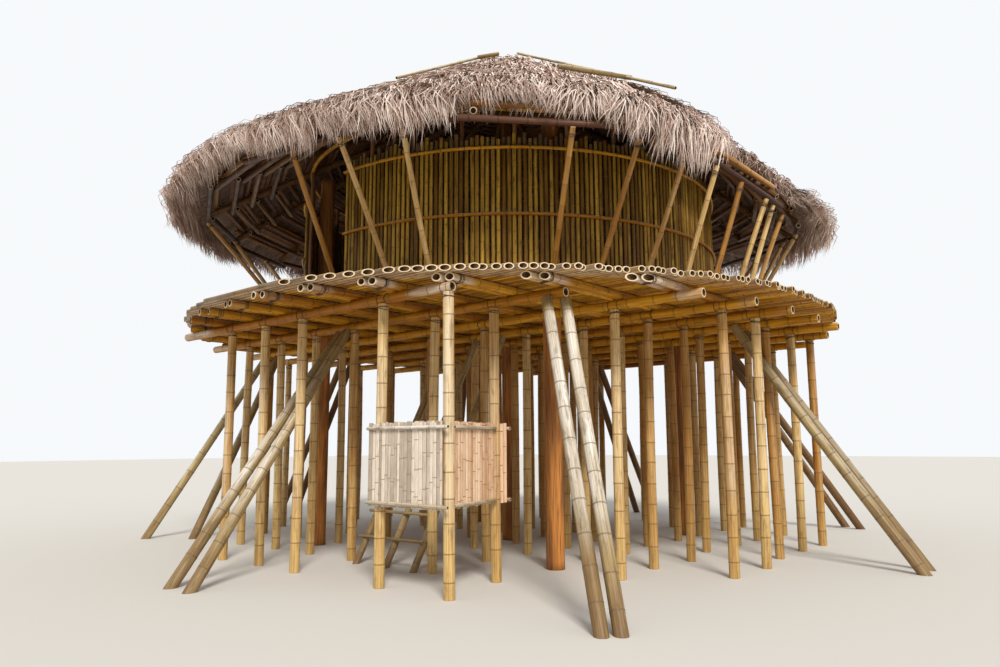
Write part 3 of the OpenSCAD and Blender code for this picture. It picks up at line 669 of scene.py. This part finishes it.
reddish = bamboo("reddish_poles", (0.42, 0.22, 0.10), (0.24, 0.11, 0.05), (0.3, 0.2, 0.1),
                 (0.12, 0.06, 0.03), (0.10, 0.06, 0.04), stains=0.35)
door_side, door_gap = 268.0, 28.0
dress("wall_studs", 171, reddish, "timber", 10, pitch=0.4, stations=3, bow=0.01)
for node, thickness, first, sweep, levels, skin, slot in (
        ("wall_rails", 0.023, door_side, 360 - door_gap, 2, amber, "wall_bamboo"),
        ("top_plate", 0.032, 0, 360, 1, amber, "wall_bamboo"),
        ("crown_ring", 0.05, 0, 360, 1, reddish, "timber")):
    grown(node + "_culms", ring_line(node, thickness, first, sweep, levels), slot, 10, skin, [node])


# Five timber columns from the ground up through the platform: peeled trunks, darker in long
# streaks, with dents where the bark came off.
timber, tree = material("peeled_timber")
at = Value(add(tree, "ShaderNodeTexCoord"), "Object")
bark = at.stretched((9, 9, 0.7)).noise(1.0, 4, 0.6)
fibre = at.stretched((80, 80, 2.2)).noise(1.0, 3)
colour = bark.fit(0.36, 0.64).mix((0.62, 0.25, 0.055, 1), (0.28, 0.11, 0.03, 1))
colour = fibre.fit(0.42, 0.72, 0.0, 0.75).mix(colour, (0.10, 0.045, 0.025, 1))
surface(tree, colour, fibre.fit(0.3, 0.7, 0.6, 0.85), 0.25, (bark + fibre * 0.5, 0.012, 0.9))


def trunk_mesh(name, poles, seed, sides=40, step=0.12):
    """Trunks that are not quite round or straight, with long dents."""
    draw = np.random.default_rng(seed)
    points, faces = [], []
    for start, end, radius, _, _ in poles:
        length = end[2] - start[2]
        levels = int(length / step) + 1
        phase = draw.uniform(0, 6.28, 8)
        first = len(points)
        for level in range(levels + 1):
            h = length * level / levels
            for k in range(sides):
                a = 2 * math.pi * k / sides
                dent = sum(math.sin(n * a + phase[n] + 0.35 * n * math.sin(h * 0.9 + phase[n - 1])) / n
                           for n in (2, 3, 5, 7))
                r = radius * (0.985 - 0.035 * abs(dent) * 0.6 + 0.01 * math.sin(h * 2.1 + phase[0]))
                points.append((start[0] + r * math.cos(a), start[1] + r * math.sin(a), start[2] + h))
            if level:
                low, high = first + (level - 1) * sides, first + level * sides
                faces += [(low + k, low + (k + 1) % sides, high + (k + 1) % sides, high + k)
                          for k in range(sides)]
        faces.append(tuple(first + k for k in reversed(range(sides))))
        faces.append(tuple(first + levels * sides + k for k in range(sides)))
    mesh = mesh_of(name, points, faces, finish=timber)
    for face in mesh.polygons:
        face.use_smooth = len(face.vertices) == 4
    return mesh


for node, seed in (("centre_column", 181), ("outer_columns", 182)):
    name = node + "_trunks"
    fixed(piece_of(name, trunk_mesh(name, poles_of(node), seed)), "timber", [node])


# Props from the foot of the wall to the eave, the ring of beams on their heads, the rafters,
# and the straight poles tied under and over them.
sooty = bamboo("sooty_bamboo", (0.30, 0.15, 0.05), (0.12, 0.05, 0.02), (0.3, 0.2, 0.1), (0.05, 0.03, 0.015),
               (0.05, 0.03, 0.014), bleach_and_sunlight=0.0)
# The eave beam's near-black colour is painted shade, for the shade it hangs in under the eave.
dark_beam = bamboo("eave_bamboo", (0.13, 0.055, 0.03), (0.05, 0.022, 0.014), (0.3, 0.2, 0.1),
                   (0.03, 0.015, 0.01), (0.03, 0.015, 0.01), streaks=0.35, bleach_and_sunlight=0.0)
brown = bamboo("brown_bamboo", (0.52, 0.28, 0.09), (0.26, 0.11, 0.035), (0.3, 0.2, 0.1),
               (0.10, 0.05, 0.02), (0.10, 0.06, 0.03), stains=0.5, bleach_and_sunlight=0.3)
dress("eave_props", 191, golden, "bamboo", 12, pitch=0.31, stations=3, bow=0.015)
dress("eave_beam", 192, dark_beam, "bamboo", 10, pitch=0.34, stations=0)
dress("under_purlins", 193, sooty, "bamboo", 10, pitch=0.34, stations=0)
dress("purlins", 194, brown, "bamboo", 10, pitch=0.36, stations=0)
dress("rafters", 195, sooty, "wall_bamboo", 12, pitch=0.34, stations=0)


# Thin battens and loose culms of bleached bamboo, their upper sides paler still with painted sunlight, laid
# on the thatch from outside and sunk a little in the straws.
dress("roof_battens", 201, silvered, "weathered_bamboo", 8, pitch=0.3, stations=3)
dress("roof_poles", 202, silvered, "weathered_bamboo", 12, pitch=0.3, stations=3)


# Laths of split bamboo on the rafters, side by side under the thatch and parallel to the eave.
# Each spans one bay of the roof, and some have fallen out.
def split_bamboo(name, light, dark, knot):
    """Split bamboo: each strip has its own tone, dark knots, and grain along its length."""
    made, tree = material(name)
    tone, knots, _ = attribute(tree, "strip").xyz()
    at = Value(add(tree, "ShaderNodeTexCoord"), "Object")
    cloud = at.stretched((7, 7, 5), tone).noise(1.0, 4)
    fine = at.stretched((130, 130, 9), tone).noise(1.0, 2)
    colour = (tone * 0.7 + cloud * 0.6).fit(0.3, 1.0).mix(light, dark)
    colour = fine.fit(0.45, 0.75, 0.0, 0.5).mix(colour, dark, "MULTIPLY")
    colour = knots.mix(colour, knot)
    surface(tree, colour, cloud.fit(0.3, 0.7, 0.5, 0.75), 0.3, (fine, 0.002, 0.7))
    return made


# Measures of the roof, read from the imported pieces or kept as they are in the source
rafter_radius = min(pole[2] for pole in poles_of("rafters"))
rafter_reach = float(max(np.hypot(*end[:2]) for pole in poles_of("rafters") for end in pole[:2]))
plate_low, plate_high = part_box("top_plate")
plate_half = (plate_high.z - plate_low.z) / 2
wall_ring = plate_high.x - plate_half
ring_height = (plate_low.z + plate_high.z) / 2
roof_pitch, roof_droop, droop_mid, droop_half = 27.0, 15.0, 8.0, 55.0
rafter_height = ring_height + plate_half + rafter_radius / math.cos(math.radians(roof_pitch)) - 0.004


def turned(angle):
    return (angle + 180) % 360 - 180


def droop(angle):
    """How much steeper the rafters hang outside the wall, where the eave has sunk."""
    share = abs(turned(angle - droop_mid)) / droop_half
    return roof_droop * (math.cos(math.pi * share) + 1) / 2 if share < 1 else 0.0


def roof_point(r, angle, up=0.0, rise=0.0):
    """A place on the roof, some way square above the rafters' axis and then plumb above that."""
    out = max(r - wall_ring, 0) / math.cos(math.radians(roof_pitch))
    pitch = math.radians(roof_pitch + (droop(angle) if out > 0 else 0))
    inner = min(r, wall_ring)
    plan = inner + out * math.cos(pitch)
    height = (rafter_height + (wall_ring - inner) * math.tan(math.radians(roof_pitch))
              - out * math.sin(pitch))
    a = math.radians(angle)
    return Vector((plan * math.cos(a), plan * math.sin(a), height + up / math.cos(pitch) + rise))


draw = np.random.default_rng(211)
points, faces, values = [], [], []
lath_first, lath_pitch, lath_width, lath_thick, lath_sway = 0.45, 0.082, 0.066, 0.008, 0.012
bays, lath_from, lath_to, fallen = 20, -0.02, 1.02, 0.03
box_faces = ((0, 3, 2, 1), (4, 5, 6, 7), (0, 1, 5, 4), (1, 2, 6, 5), (2, 3, 7, 6), (3, 0, 4, 7))
purlin_places = (0.25, 0.43, 0.6, 0.76, 0.87, 0.965)
for k in range(int((rafter_reach - 0.5) / lath_pitch)):
    r = lath_first + k * lath_pitch
    if any(-0.09 < r - share * rafter_reach < 0.15 for share in purlin_places):
        continue
    for bay in range(bays):
        if draw.random() < fallen:
            continue
        # Every other lath lies over the ends of its neighbours
        above = rafter_radius + lath_thick * (0.5 + 0.9 * (bay % 2))
        ends = [roof_point(r + draw.uniform(-lath_sway, lath_sway), 360 / bays * turn, above)
                for turn in (bay + lath_from, bay + lath_to)]
        middle = 360 / bays * (bay + 0.5)
        up = (ends[1] - ends[0]).cross(roof_point(r - 0.1, middle) - roof_point(r, middle)).normalized()
        up = up if up.z > 0 else -up
        along = (ends[1] - ends[0]).normalized()
        side = along.cross(up).normalized() * (lath_width * draw.uniform(0.8, 1.05)) / 2
        rise = side.cross(along).normalized() * lath_thick / 2
        faces += [[len(points) + corner for corner in face] for face in box_faces]
        for end in ends:
            points += [end - side - rise, end + side - rise, end + side + rise, end - side + rise]
        values += [(draw.random(), 0.0, 0.0)] * 8
lath = split_bamboo("lath", (0.36, 0.17, 0.07, 1), (0.15, 0.065, 0.03, 1), (0.08, 0.04, 0.02, 1))
fixed(piece_of("roof_laths", mesh_of("roof_laths", points, faces, finish=lath, strip=values)), "wall_bamboo")


# The thatch: bundles of dry grass tied on in rows from the eave up, each hanging over the row
# below, with a long shaggy fringe. On the right-hand side the lower rows have come off.
straw, tree = material("dry_thatch")
tone, tip, body = attribute(tree, "straw").xyz()
at = Value(add(tree, "ShaderNodeTexCoord"), "Object")
fine = at.noise(42.0, 3, 0.7)
# Painted shade: browner and darker on the side away from the sun, over the straws' own random tone
amount = (tone * 0.55 + attribute(tree, "tuft", "Fac") * 0.3 + at.noise(1.3, 3) * 0.5
          + at.xyz()[0].fit(-4.5, 0.5, 0.25, 0.0))
colour = amount.fit(0.32, 1.0).mix((1.0, 0.86, 0.78, 1), (0.36, 0.22, 0.16, 1))
# Roots are dark with dirt and shade, tips bleached
colour = tip.fit(0.0, 0.55, 0.8, 0.0).mix(colour, (0.10, 0.06, 0.04, 1))
# The body under the loose straws: streaks that run down the slope
lay = attribute(tree, "lay")
streak = lay.stretched((60, 5, 1)).noise(1.0, 4, 0.7)
clumps = lay.stretched((5, 2.5, 1)).noise(1.0, 3, 0.6)
# The body under the straws takes the same painted shade on the side away from the sun.
packed = (streak.fit(0.4, 0.62) * clumps.fit(0.3, 0.65, 0.45, 1.0)).mix(
    (0.11, 0.065, 0.045, 1), amount.fit(0.4, 1.0).mix((0.72, 0.58, 0.50, 1), (0.36, 0.24, 0.18, 1)))
surface(tree, body.mix(colour, packed), 0.85, 0.15, (fine * 0.5 + streak * body, 0.025, 0.8))


def straw_bundle(name, count, seed, hanging, stations):
    """One tuft of three-sided straws, root at the origin. A hanging one arches out along X and
    then drops a unit down Z, and a lying one runs out along X. The straws of a tuft sway
    together and draw in to a ragged tip."""
    draw = np.random.default_rng(seed)
    points, faces, values = [], [], []
    common, drift = draw.uniform(-0.16, 0.16), draw.uniform(-0.05, 0.06)
    for _ in range(count):
        tone = draw.random()
        root = np.array([draw.uniform(-0.05, 0.05), draw.uniform(-0.12, 0.12), draw.uniform(-0.04, 0.04)])
        length = draw.uniform(0.72, 1.0) * (1 if draw.random() > 0.25 else 0.6)
        splay, curl = common - root[1] * 0.75 + draw.normal(0, 0.06), drift + draw.normal(0, 0.05)
        thick = draw.uniform(0.0038, 0.0075) * (1 if hanging else 1.35)
        reach = draw.uniform(0.12, 0.25)
        wave, phase = draw.uniform(0.01, 0.045), draw.uniform(0, 6.28)
        path = []
        for t in (k / (stations - 1) for k in range(stations)):
            sway = wave * (math.sin(phase + 5.5 * t) - math.sin(phase)) * math.sqrt(t)
            if hanging:
                out = reach * math.sin(min(t * 2.0, 1) * math.pi / 2) - 0.10 * t * t + curl * t - sway * 0.6
                place = (out, splay * t + sway, -length * (t ** 1.45))
            else:
                place = (length * 0.72 * t, splay * t * 1.2 + sway, 0.06 * math.sin(t * 2.9) - 0.05 * t)
            path.append(root + np.array(place))
        first = len(points)
        for k, at in enumerate(path[:-1]):
            ahead = path[k + 1] - at
            ahead /= np.linalg.norm(ahead)
            side = np.cross(ahead, (1.0, 0.2, 0.3) if hanging else (0.3, 0.1, 1.0))
            side /= np.linalg.norm(side)
            up = np.cross(side, ahead)
            r = thick * (1 - 0.45 * k / stations)
            for a in (2 * math.pi * corner / 3 for corner in range(3)):
                points.append(at + (side * math.cos(a) * 1.5 + up * math.sin(a)) * r)
                values.append((tone, k / (stations - 1), 0.0))
        points.append(path[-1])
        values.append((tone, 1.0, 0.0))
        for row in range(first, first + 3 * (stations - 2), 3):
            faces += [(row + c, row + (c + 1) % 3, row + (c + 1) % 3 + 3, row + c + 3) for c in range(3)]
        last = first + 3 * (stations - 2)
        faces += [(last + c, last + (c + 1) % 3, len(points) - 1) for c in range(3)]
        faces.append((first + 2, first + 1, first))
    return bpy.data.objects.new(name, mesh_of(name, points, faces, straw=values))


def tuft_tree():
    """Sets tufts of straw on a strip of the roof, turned down the slope or to hang plumb."""
    tree, given, result = new_group(
        "tufts", "GeometryNodeTree",
        {"Strip": "Geometry", "Tuft A": "Object", "Tuft B": "Object", "Tuft C": "Object",
         "Per square metre": "Float", "Seed": "Int", "Straw": "Material"}, {"Thatch": "Geometry"})
    seed = given["Seed"]
    rooted = add(tree, "GeometryNodeDistributePointsOnFaces", {
        "Mesh": given["Strip"], "Density": given["Per square metre"], "Seed": seed},
        distribute_method="RANDOM")
    bundles = add(tree, "GeometryNodeJoinGeometry")
    for label in ("Tuft C", "Tuft B", "Tuft A"):
        one = add(tree, "GeometryNodeObjectInfo", {"Object": given[label], "As Instance": True})
        tree.links.new(one.outputs["Geometry"], bundles.inputs[0])
    # X of a tuft points out and down by the fall, and Z is square to that
    out, fall = named(tree, "out", "FLOAT_VECTOR"), named(tree, "fall")
    down = out.vector("SUBTRACT", add(tree, "ShaderNodeCombineXYZ", {"Z": fall}))
    up = out.scaled(fall).vector("ADD", (0, 0, 1))
    straight = add(tree, "FunctionNodeAxesToRotation", {"Primary Axis": up, "Secondary Axis": down},
                   primary_axis="Z", secondary_axis="X")
    loose = add(tree, "FunctionNodeRandomValue",
                {0: (-0.16, -0.03, -0.45), 1: (0.16, 0.08, 0.45), "Seed": seed}, data_type="FLOAT_VECTOR")
    askew = add(tree, "FunctionNodeRotateRotation", {"Rotation": straight, "Rotate By": loose},
                rotation_space="LOCAL")
    vary = Value(add(tree, "FunctionNodeRandomValue", {2: 0.62, 3: 1.1, "Seed": seed}, data_type="FLOAT"), 1)
    size = add(tree, "ShaderNodeCombineXYZ", {"X": 1.0, "Y": 1.0, "Z": named(tree, "hang") * vary})
    set_on = add(tree, "GeometryNodeInstanceOnPoints", {
        "Points": rooted, "Instance": bundles, "Pick Instance": True, "Rotation": askew, "Scale": size})
    tone = Value(add(tree, "FunctionNodeRandomValue", {2: 0.0, 3: 1.0, "Seed": 7}, data_type="FLOAT"), 1)
    toned = add(tree, "GeometryNodeStoreNamedAttribute", {"Geometry": set_on, "Name": "tuft", "Value": tone},
                data_type="FLOAT", domain="INSTANCE")
    return ended(tree, toned, given["Straw"], result)


tufts = tuft_tree()
lying = [straw_bundle(f"lying_tuft_{k}", 15, 220 + k, False, 3) for k in range(3)]
hanging = [straw_bundle(f"hanging_tuft_{k}", 18, 230 + k, True, 5) for k in range(3)]
thatch_up = rafter_radius + 0.068
thatch_pitch, thatch_depth, crown_flat = 31.0, 0.45, 0.42

# How low the fringe hangs, by direction: measured in the photo in front, and made up behind
fringe_low = [(-180, 5.10), (-150, 5.06), (-128, 5.00), (-108, 5.16), (-92, 5.16), (-84, 5.10), (-76, 4.98),
              (-66, 5.04), (-60, 5.04), (-56, 5.34), (-47, 5.42), (-41, 5.34), (-36, 5.10), (-32, 4.98),
              (-29, 4.74), (-22, 4.72), (8, 5.0), (20, 4.75), (27, 4.7), (40, 4.75), (55, 4.9), (80, 5.05),
              (110, 5.0), (140, 5.05), (180, 5.10)]


def ragged_low(angle):
    wave = math.sin(angle * 0.9) + math.sin(angle * 0.37 + 1) + 0.7 * math.sin(angle * 1.7 + 2)
    return float(np.interp(turned(angle), *zip(*fringe_low))) + 0.035 * wave


def thickness(r):
    steeper = math.tan(math.radians(thatch_pitch)) - math.tan(math.radians(roof_pitch))
    return thatch_depth + (wall_ring - r) * steeper


def on_thatch(r, angle, low_r, sunk=0.0):
    """A place on the thatch's outer surface, which rounds over at the eave."""
    round_from, round_over, round_share, round_power, crown_fall = 0.65, 0.68, 0.72, 2.4, 0.45
    bend = max(r - low_r + round_from, 0) / round_over
    deep = thickness(max(r, crown_flat)) * (1 - round_share * bend ** round_power)
    return roof_point(r, angle, thatch_up, deep - sunk - max(crown_flat - r, 0) * crown_fall)


def worn(angle):
    """How far the eave is worn back over the middle of the front."""
    worn_middle, worn_half, worn_back = -48, 16, 0.43
    return min(max(2 - 2 * abs(turned(angle - worn_middle)) / worn_half, 0), 1) * worn_back


def outward(angle):
    return Vector((math.cos(math.radians(angle)), math.sin(math.radians(angle)), 0))


def strip_of_tufts(name, rows, bundles, density, seed):
    """Tufts on a grid of places, each with the tufts' direction out, fall and length there."""
    wide = len(rows[0])
    places, out, fall, hang = zip(*(cell for row in rows for cell in row))
    faces = [(i * wide + k, i * wide + k + 1, (i + 1) * wide + k + 1, (i + 1) * wide + k)
             for i in range(len(rows) - 1) for k in range(wide - 1)]
    inputs = {"Per square metre": float(density), "Seed": seed, "Straw": straw}
    inputs.update(zip(("Tuft A", "Tuft B", "Tuft C"), bundles))
    return applied(name, mesh_of(name, places, faces, out=out, fall=fall, hang=hang), tufts, inputs)


def shell_mesh(name, first, sweep, reach_at, number):
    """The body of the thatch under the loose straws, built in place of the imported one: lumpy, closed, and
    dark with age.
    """
    phases = np.random.default_rng(240 + number).uniform(0, 6.28, 5)
    lumps, lump_height = ((3.1, 4), (5.3, 7), (8.9, 5), (2.2, 13), (11, 9)), 0.009
    across = int(sweep / 2)
    points, faces, lay = [], [], []
    for i in range(across + 1):
        angle = first + sweep * i / across
        low_r, a = reach_at(angle), math.radians(angle)
        ring = [on_thatch(low_r * share, angle, low_r, 0.09) for share in np.linspace(0, 0.94, 22)]
        for place in ring[1:]:
            r = place.xy.length
            place.z += lump_height * sum(math.sin(f * r + g * a * (1 + r) + phase)
                                         for (f, g), phase in zip(lumps, phases))
        ring += [on_thatch(low_r - 0.15, angle, low_r, 0.16),
                 roof_point(low_r - 0.12, angle, thatch_up, 0.05)]
        ring += [roof_point(low_r - 0.2 - (low_r - 0.2) * share, angle, thatch_up)
                 for share in np.linspace(0, 1, 9)]
        n = len(ring)
        points += ring
        lay += [(a * 5, place.xy.length, number) for place in ring]
    faces = [(i * n + k, (i + 1) * n + k, (i + 1) * n + k + 1, i * n + k + 1)
             for i in range(across) for k in range(n - 1)]
    faces += [tuple(range(n)), tuple(across * n + k for k in reversed(range(n)))]
    mesh = mesh_of(name, points, faces, finish=straw, straw=[(0.5, 0.6, 1.0)] * len(points),
                   tuft=[0.0] * len(points), lay=lay)
    mesh.validate()
    return mesh


def joined(name, meshes):
    """Several meshes as one, the attributes kept."""
    objects = [piece_of(f"{name}_{k}", mesh) for k, mesh in enumerate(meshes)]
    with bpy.context.temp_override(active_object=objects[0], object=objects[0], selected_objects=objects,
                                   selected_editable_objects=objects):
        bpy.ops.object.join()
    objects[0].name = name
    objects[0].data.name = name
    return objects[0]


eave_over, torn_back = 0.42, -0.9
# First direction, sweep, reach beyond the rafters, tufts to the square metre on the slope and eave
sectors = [(8, 60, eave_over, 12, 52), (68, 66, eave_over, 11, 36), (134, 68, eave_over, 11, 42),
           (202, 68, eave_over, 13, 80), (270, 68, eave_over, 14, 88), (338, 30, torn_back, 12, 55)]
for number, (first, sweep, over, thin, thick) in enumerate(sectors, 1):
    name = f"thatch_{number}"
    torn = over < 0

    def reach_at(angle):
        clump = 0.75 * min(max((-11 - turned(angle)) / 4, 0), 1) if torn else 0
        return rafter_reach + over + clump - worn(angle)

    def slope_cell(angle, share):
        low_r = reach_at(angle)
        r = 0.12 + (low_r - 0.37) * share
        steep = thatch_pitch + (droop(angle) if r > wall_ring else 0)
        return on_thatch(r, angle, low_r, 0.085), outward(angle), math.tan(math.radians(steep)), 1.0

    def fringe_cell(angle, inward):
        low_r = reach_at(angle)
        place = on_thatch(low_r - inward, angle, low_r, 0.03)
        low = place.z - 0.5 if torn else ragged_low(angle)
        return place, outward(angle), 0.0, max(place.z - low, 0.12) / 0.98

    slope = [[slope_cell(angle, share) for share in np.linspace(0, 1, 17)]
             for angle in np.linspace(first, first + sweep, int(sweep / 3) + 1)]
    fringe = [[fringe_cell(angle, inward) for inward in (0.34, 0.2, 0.06)]
              for angle in np.linspace(first + 0.4, first + sweep - 0.4, int(sweep / 2) + 1)]
    meshes = [shell_mesh(name + "_shell", first, sweep, reach_at, number),
              strip_of_tufts(name + "_lying", slope, lying, thin, 250 + number),
              strip_of_tufts(name + "_hanging", fringe, hanging, thick, 260 + number)]
    if number in (1, 5):
        # The torn edge, where the straws fall over the side of the gap
        edge, side = (first, -1) if number == 1 else (first + sweep, 1)
        cells = [[(on_thatch(r, edge - side * inward, reach_at(edge), 0.06), outward(edge + 90 * side), 0.0,
                   0.45 if r < 4.4 or number == 5 else 0.22) for inward in (0.3, 2.0, 4.0)]
                 for r in np.linspace(3.9, 5.35, 9)]
        meshes.append(strip_of_tufts(name + "_edge", cells, hanging, 60, 270 + number))
    fixed(joined(name + "_grass", meshes), "thatch", [name])


# Screens of flattened bamboo on two poles each, between four of the front stilts. Each strip is
# half a culm opened flat, bleached, with its broken rings at its own heights.
bleached = split_bamboo("bleached_strips", (0.80, 0.69, 0.57, 1), (0.42, 0.34, 0.27, 1),
                        (0.33, 0.25, 0.19, 1))
warm = split_bamboo("warm_strips", (0.90, 0.67, 0.48, 1), (0.56, 0.33, 0.18, 1), (0.36, 0.22, 0.13, 1))
inner_row = -3.2383
corner_a, corner_b, corner_c, corner_d = (Vector((x, y, 0)) for x, y in (
    (1.7278, -4.3407), (2.8196, -4.3407), (2.5149, inner_row), (1.4787, inner_row)))
inset = (corner_c - corner_b).normalized() * 0.0675
screen_low, screen_tall, screen_pole = 0.91, 0.96, 0.021
strip_thick, strip_round, strip_gap, ring_step = 0.011, 0.0035, 0.003, 0.004
# A strip's outline, in widths along and metres out: flat behind and a little round in front
strip_outline = ((0.0, 0.0), (0.25, strip_round), (0.75, strip_round), (1.0, 0.0),
                 (0.9, -strip_thick), (0.1, -strip_thick))


def strip_screen(points, faces, values, a, b, off, seed, uneven):
    """Upright strips side by side from a to b, set off square to that line."""
    draw = np.random.default_rng(seed)
    along = (b - a).normalized()
    out = Vector((along.y, -along.x, 0))
    run, at = (b - a).length, 0.0
    while at < run - 0.02:
        width = min(draw.uniform(0.042, 0.07), run - at)
        tone = draw.random()
        low = screen_low + 0.004 + draw.uniform(0, uneven)
        high = screen_low + screen_tall - 0.004 - draw.uniform(0, 0.025)
        knots = np.cumsum(draw.uniform(0.28, 0.42, 5)) + low - draw.uniform(0, 0.25)
        shown = [z for z in knots if low + 0.02 < z < high - 0.02]
        levels = sorted({low, high, *(z + d for z in shown for d in (-0.007, -0.003, 0.003, 0.007))})
        proud = draw.uniform(-0.003, 0.003)
        first, last = len(points), len(points) + 6 * (len(levels) - 1)
        for z in levels:
            swell = any(abs(z - knot) < 0.005 for knot in knots)
            for u, bulge in strip_outline:
                ridge = ring_step if swell and bulge >= 0 else 0.0
                place = a + along * (at + strip_gap / 2 + (width - strip_gap) * u)
                place += out * (off + proud + (bulge + ridge))
                points.append((place.x, place.y, z))
                values.append((tone, 0.85 if swell else 0.0, 0.0))
        for p in range(first, last):
            q = p + 1 if (p - first) % 6 < 5 else p - 5
            faces.append((p, q, q + 6, p + 6))
        faces.append([first + k for k in reversed(range(6))])
        faces.append([last + k for k in range(6)])
        at += width


past_a, past_c = Vector((0.12, 0, 0)), Vector((0.125, 0, 0))
for node, a, b, off, pole_side, out_a, out_b, finish, uneven, seed in (
        ("screen_left", corner_a - past_a, corner_b, 0.0735, 1, 0.005, 0.11, bleached, 0.0, 271),
        ("screen_right", corner_b + inset, corner_c - inset, 0.015, 1, 0.0, 0.0, warm, 0.05, 272),
        ("screen_back", corner_d, corner_c + past_c, -0.0735, -1, 0.03, 0.03, warm, 0.02, 273)):
    points, faces, values = [], [], []
    for behind, shift in ((0.013, 0), (-0.002, 10)):
        strip_screen(points, faces, values, a, b, off + behind, seed + shift, uneven)
    mesh = mesh_of(node + "_strips", points, faces, finish=finish, strip=values)
    fixed(piece_of(node + "_strips", mesh), "screen_bamboo", [node])
    along = (b - a).normalized()
    out = Vector((along.y, -along.x, 0))
    rails = []
    for z in (screen_low + 0.045, screen_low + screen_tall - 0.075):
        shift = out * (off + pole_side * (0.015 + screen_pole - 0.004)) + Vector((0, 0, z))
        rails.append((a - along * out_a + shift, b + along * out_b + shift, screen_pole, True, True))
    grown(node + "_poles", culm_lines(node + "_lines", rails, seed, pitch=0.27), "weathered_bamboo", 14,
          silvered, [node])


# Leaning poles with rungs across them, which go up under the platform to the floor beams.
ladder_slope, rung_count, rung_pitch = math.radians(61), 5, 0.33
ladder_foot = inner_row - 0.095 - 0.035
ladder_radius, rung_radius, ladder_top = 0.0475, 0.021, 3.21
ladder_xs = (0.0886, 0.6986, 1.2386)
lean = Vector((0, math.cos(ladder_slope), math.sin(ladder_slope)))
above = Vector((0, -math.sin(ladder_slope), math.cos(ladder_slope))) * (ladder_radius + rung_radius - 0.004)
parts = []
for x in ladder_xs:
    foot = Vector((x, ladder_foot, 0))
    parts.append((foot - lean * 0.1, foot + lean * ladder_top / lean.z, ladder_radius, False, True))
for k in range(1, rung_count + 1):
    rung = Vector((0, ladder_foot, 0)) + lean * (k * rung_pitch / lean.z) + above
    parts.append((rung + Vector((ladder_xs[0] - 0.095, 0, 0)), rung + Vector((ladder_xs[2] + 0.0475, 0, 0)),
                  rung_radius, True, True))
grown("ladder_culms", culm_lines("ladder_lines", parts, 281, pitch=0.28), "weathered_bamboo", 12, silvered,
      ["ladder"])
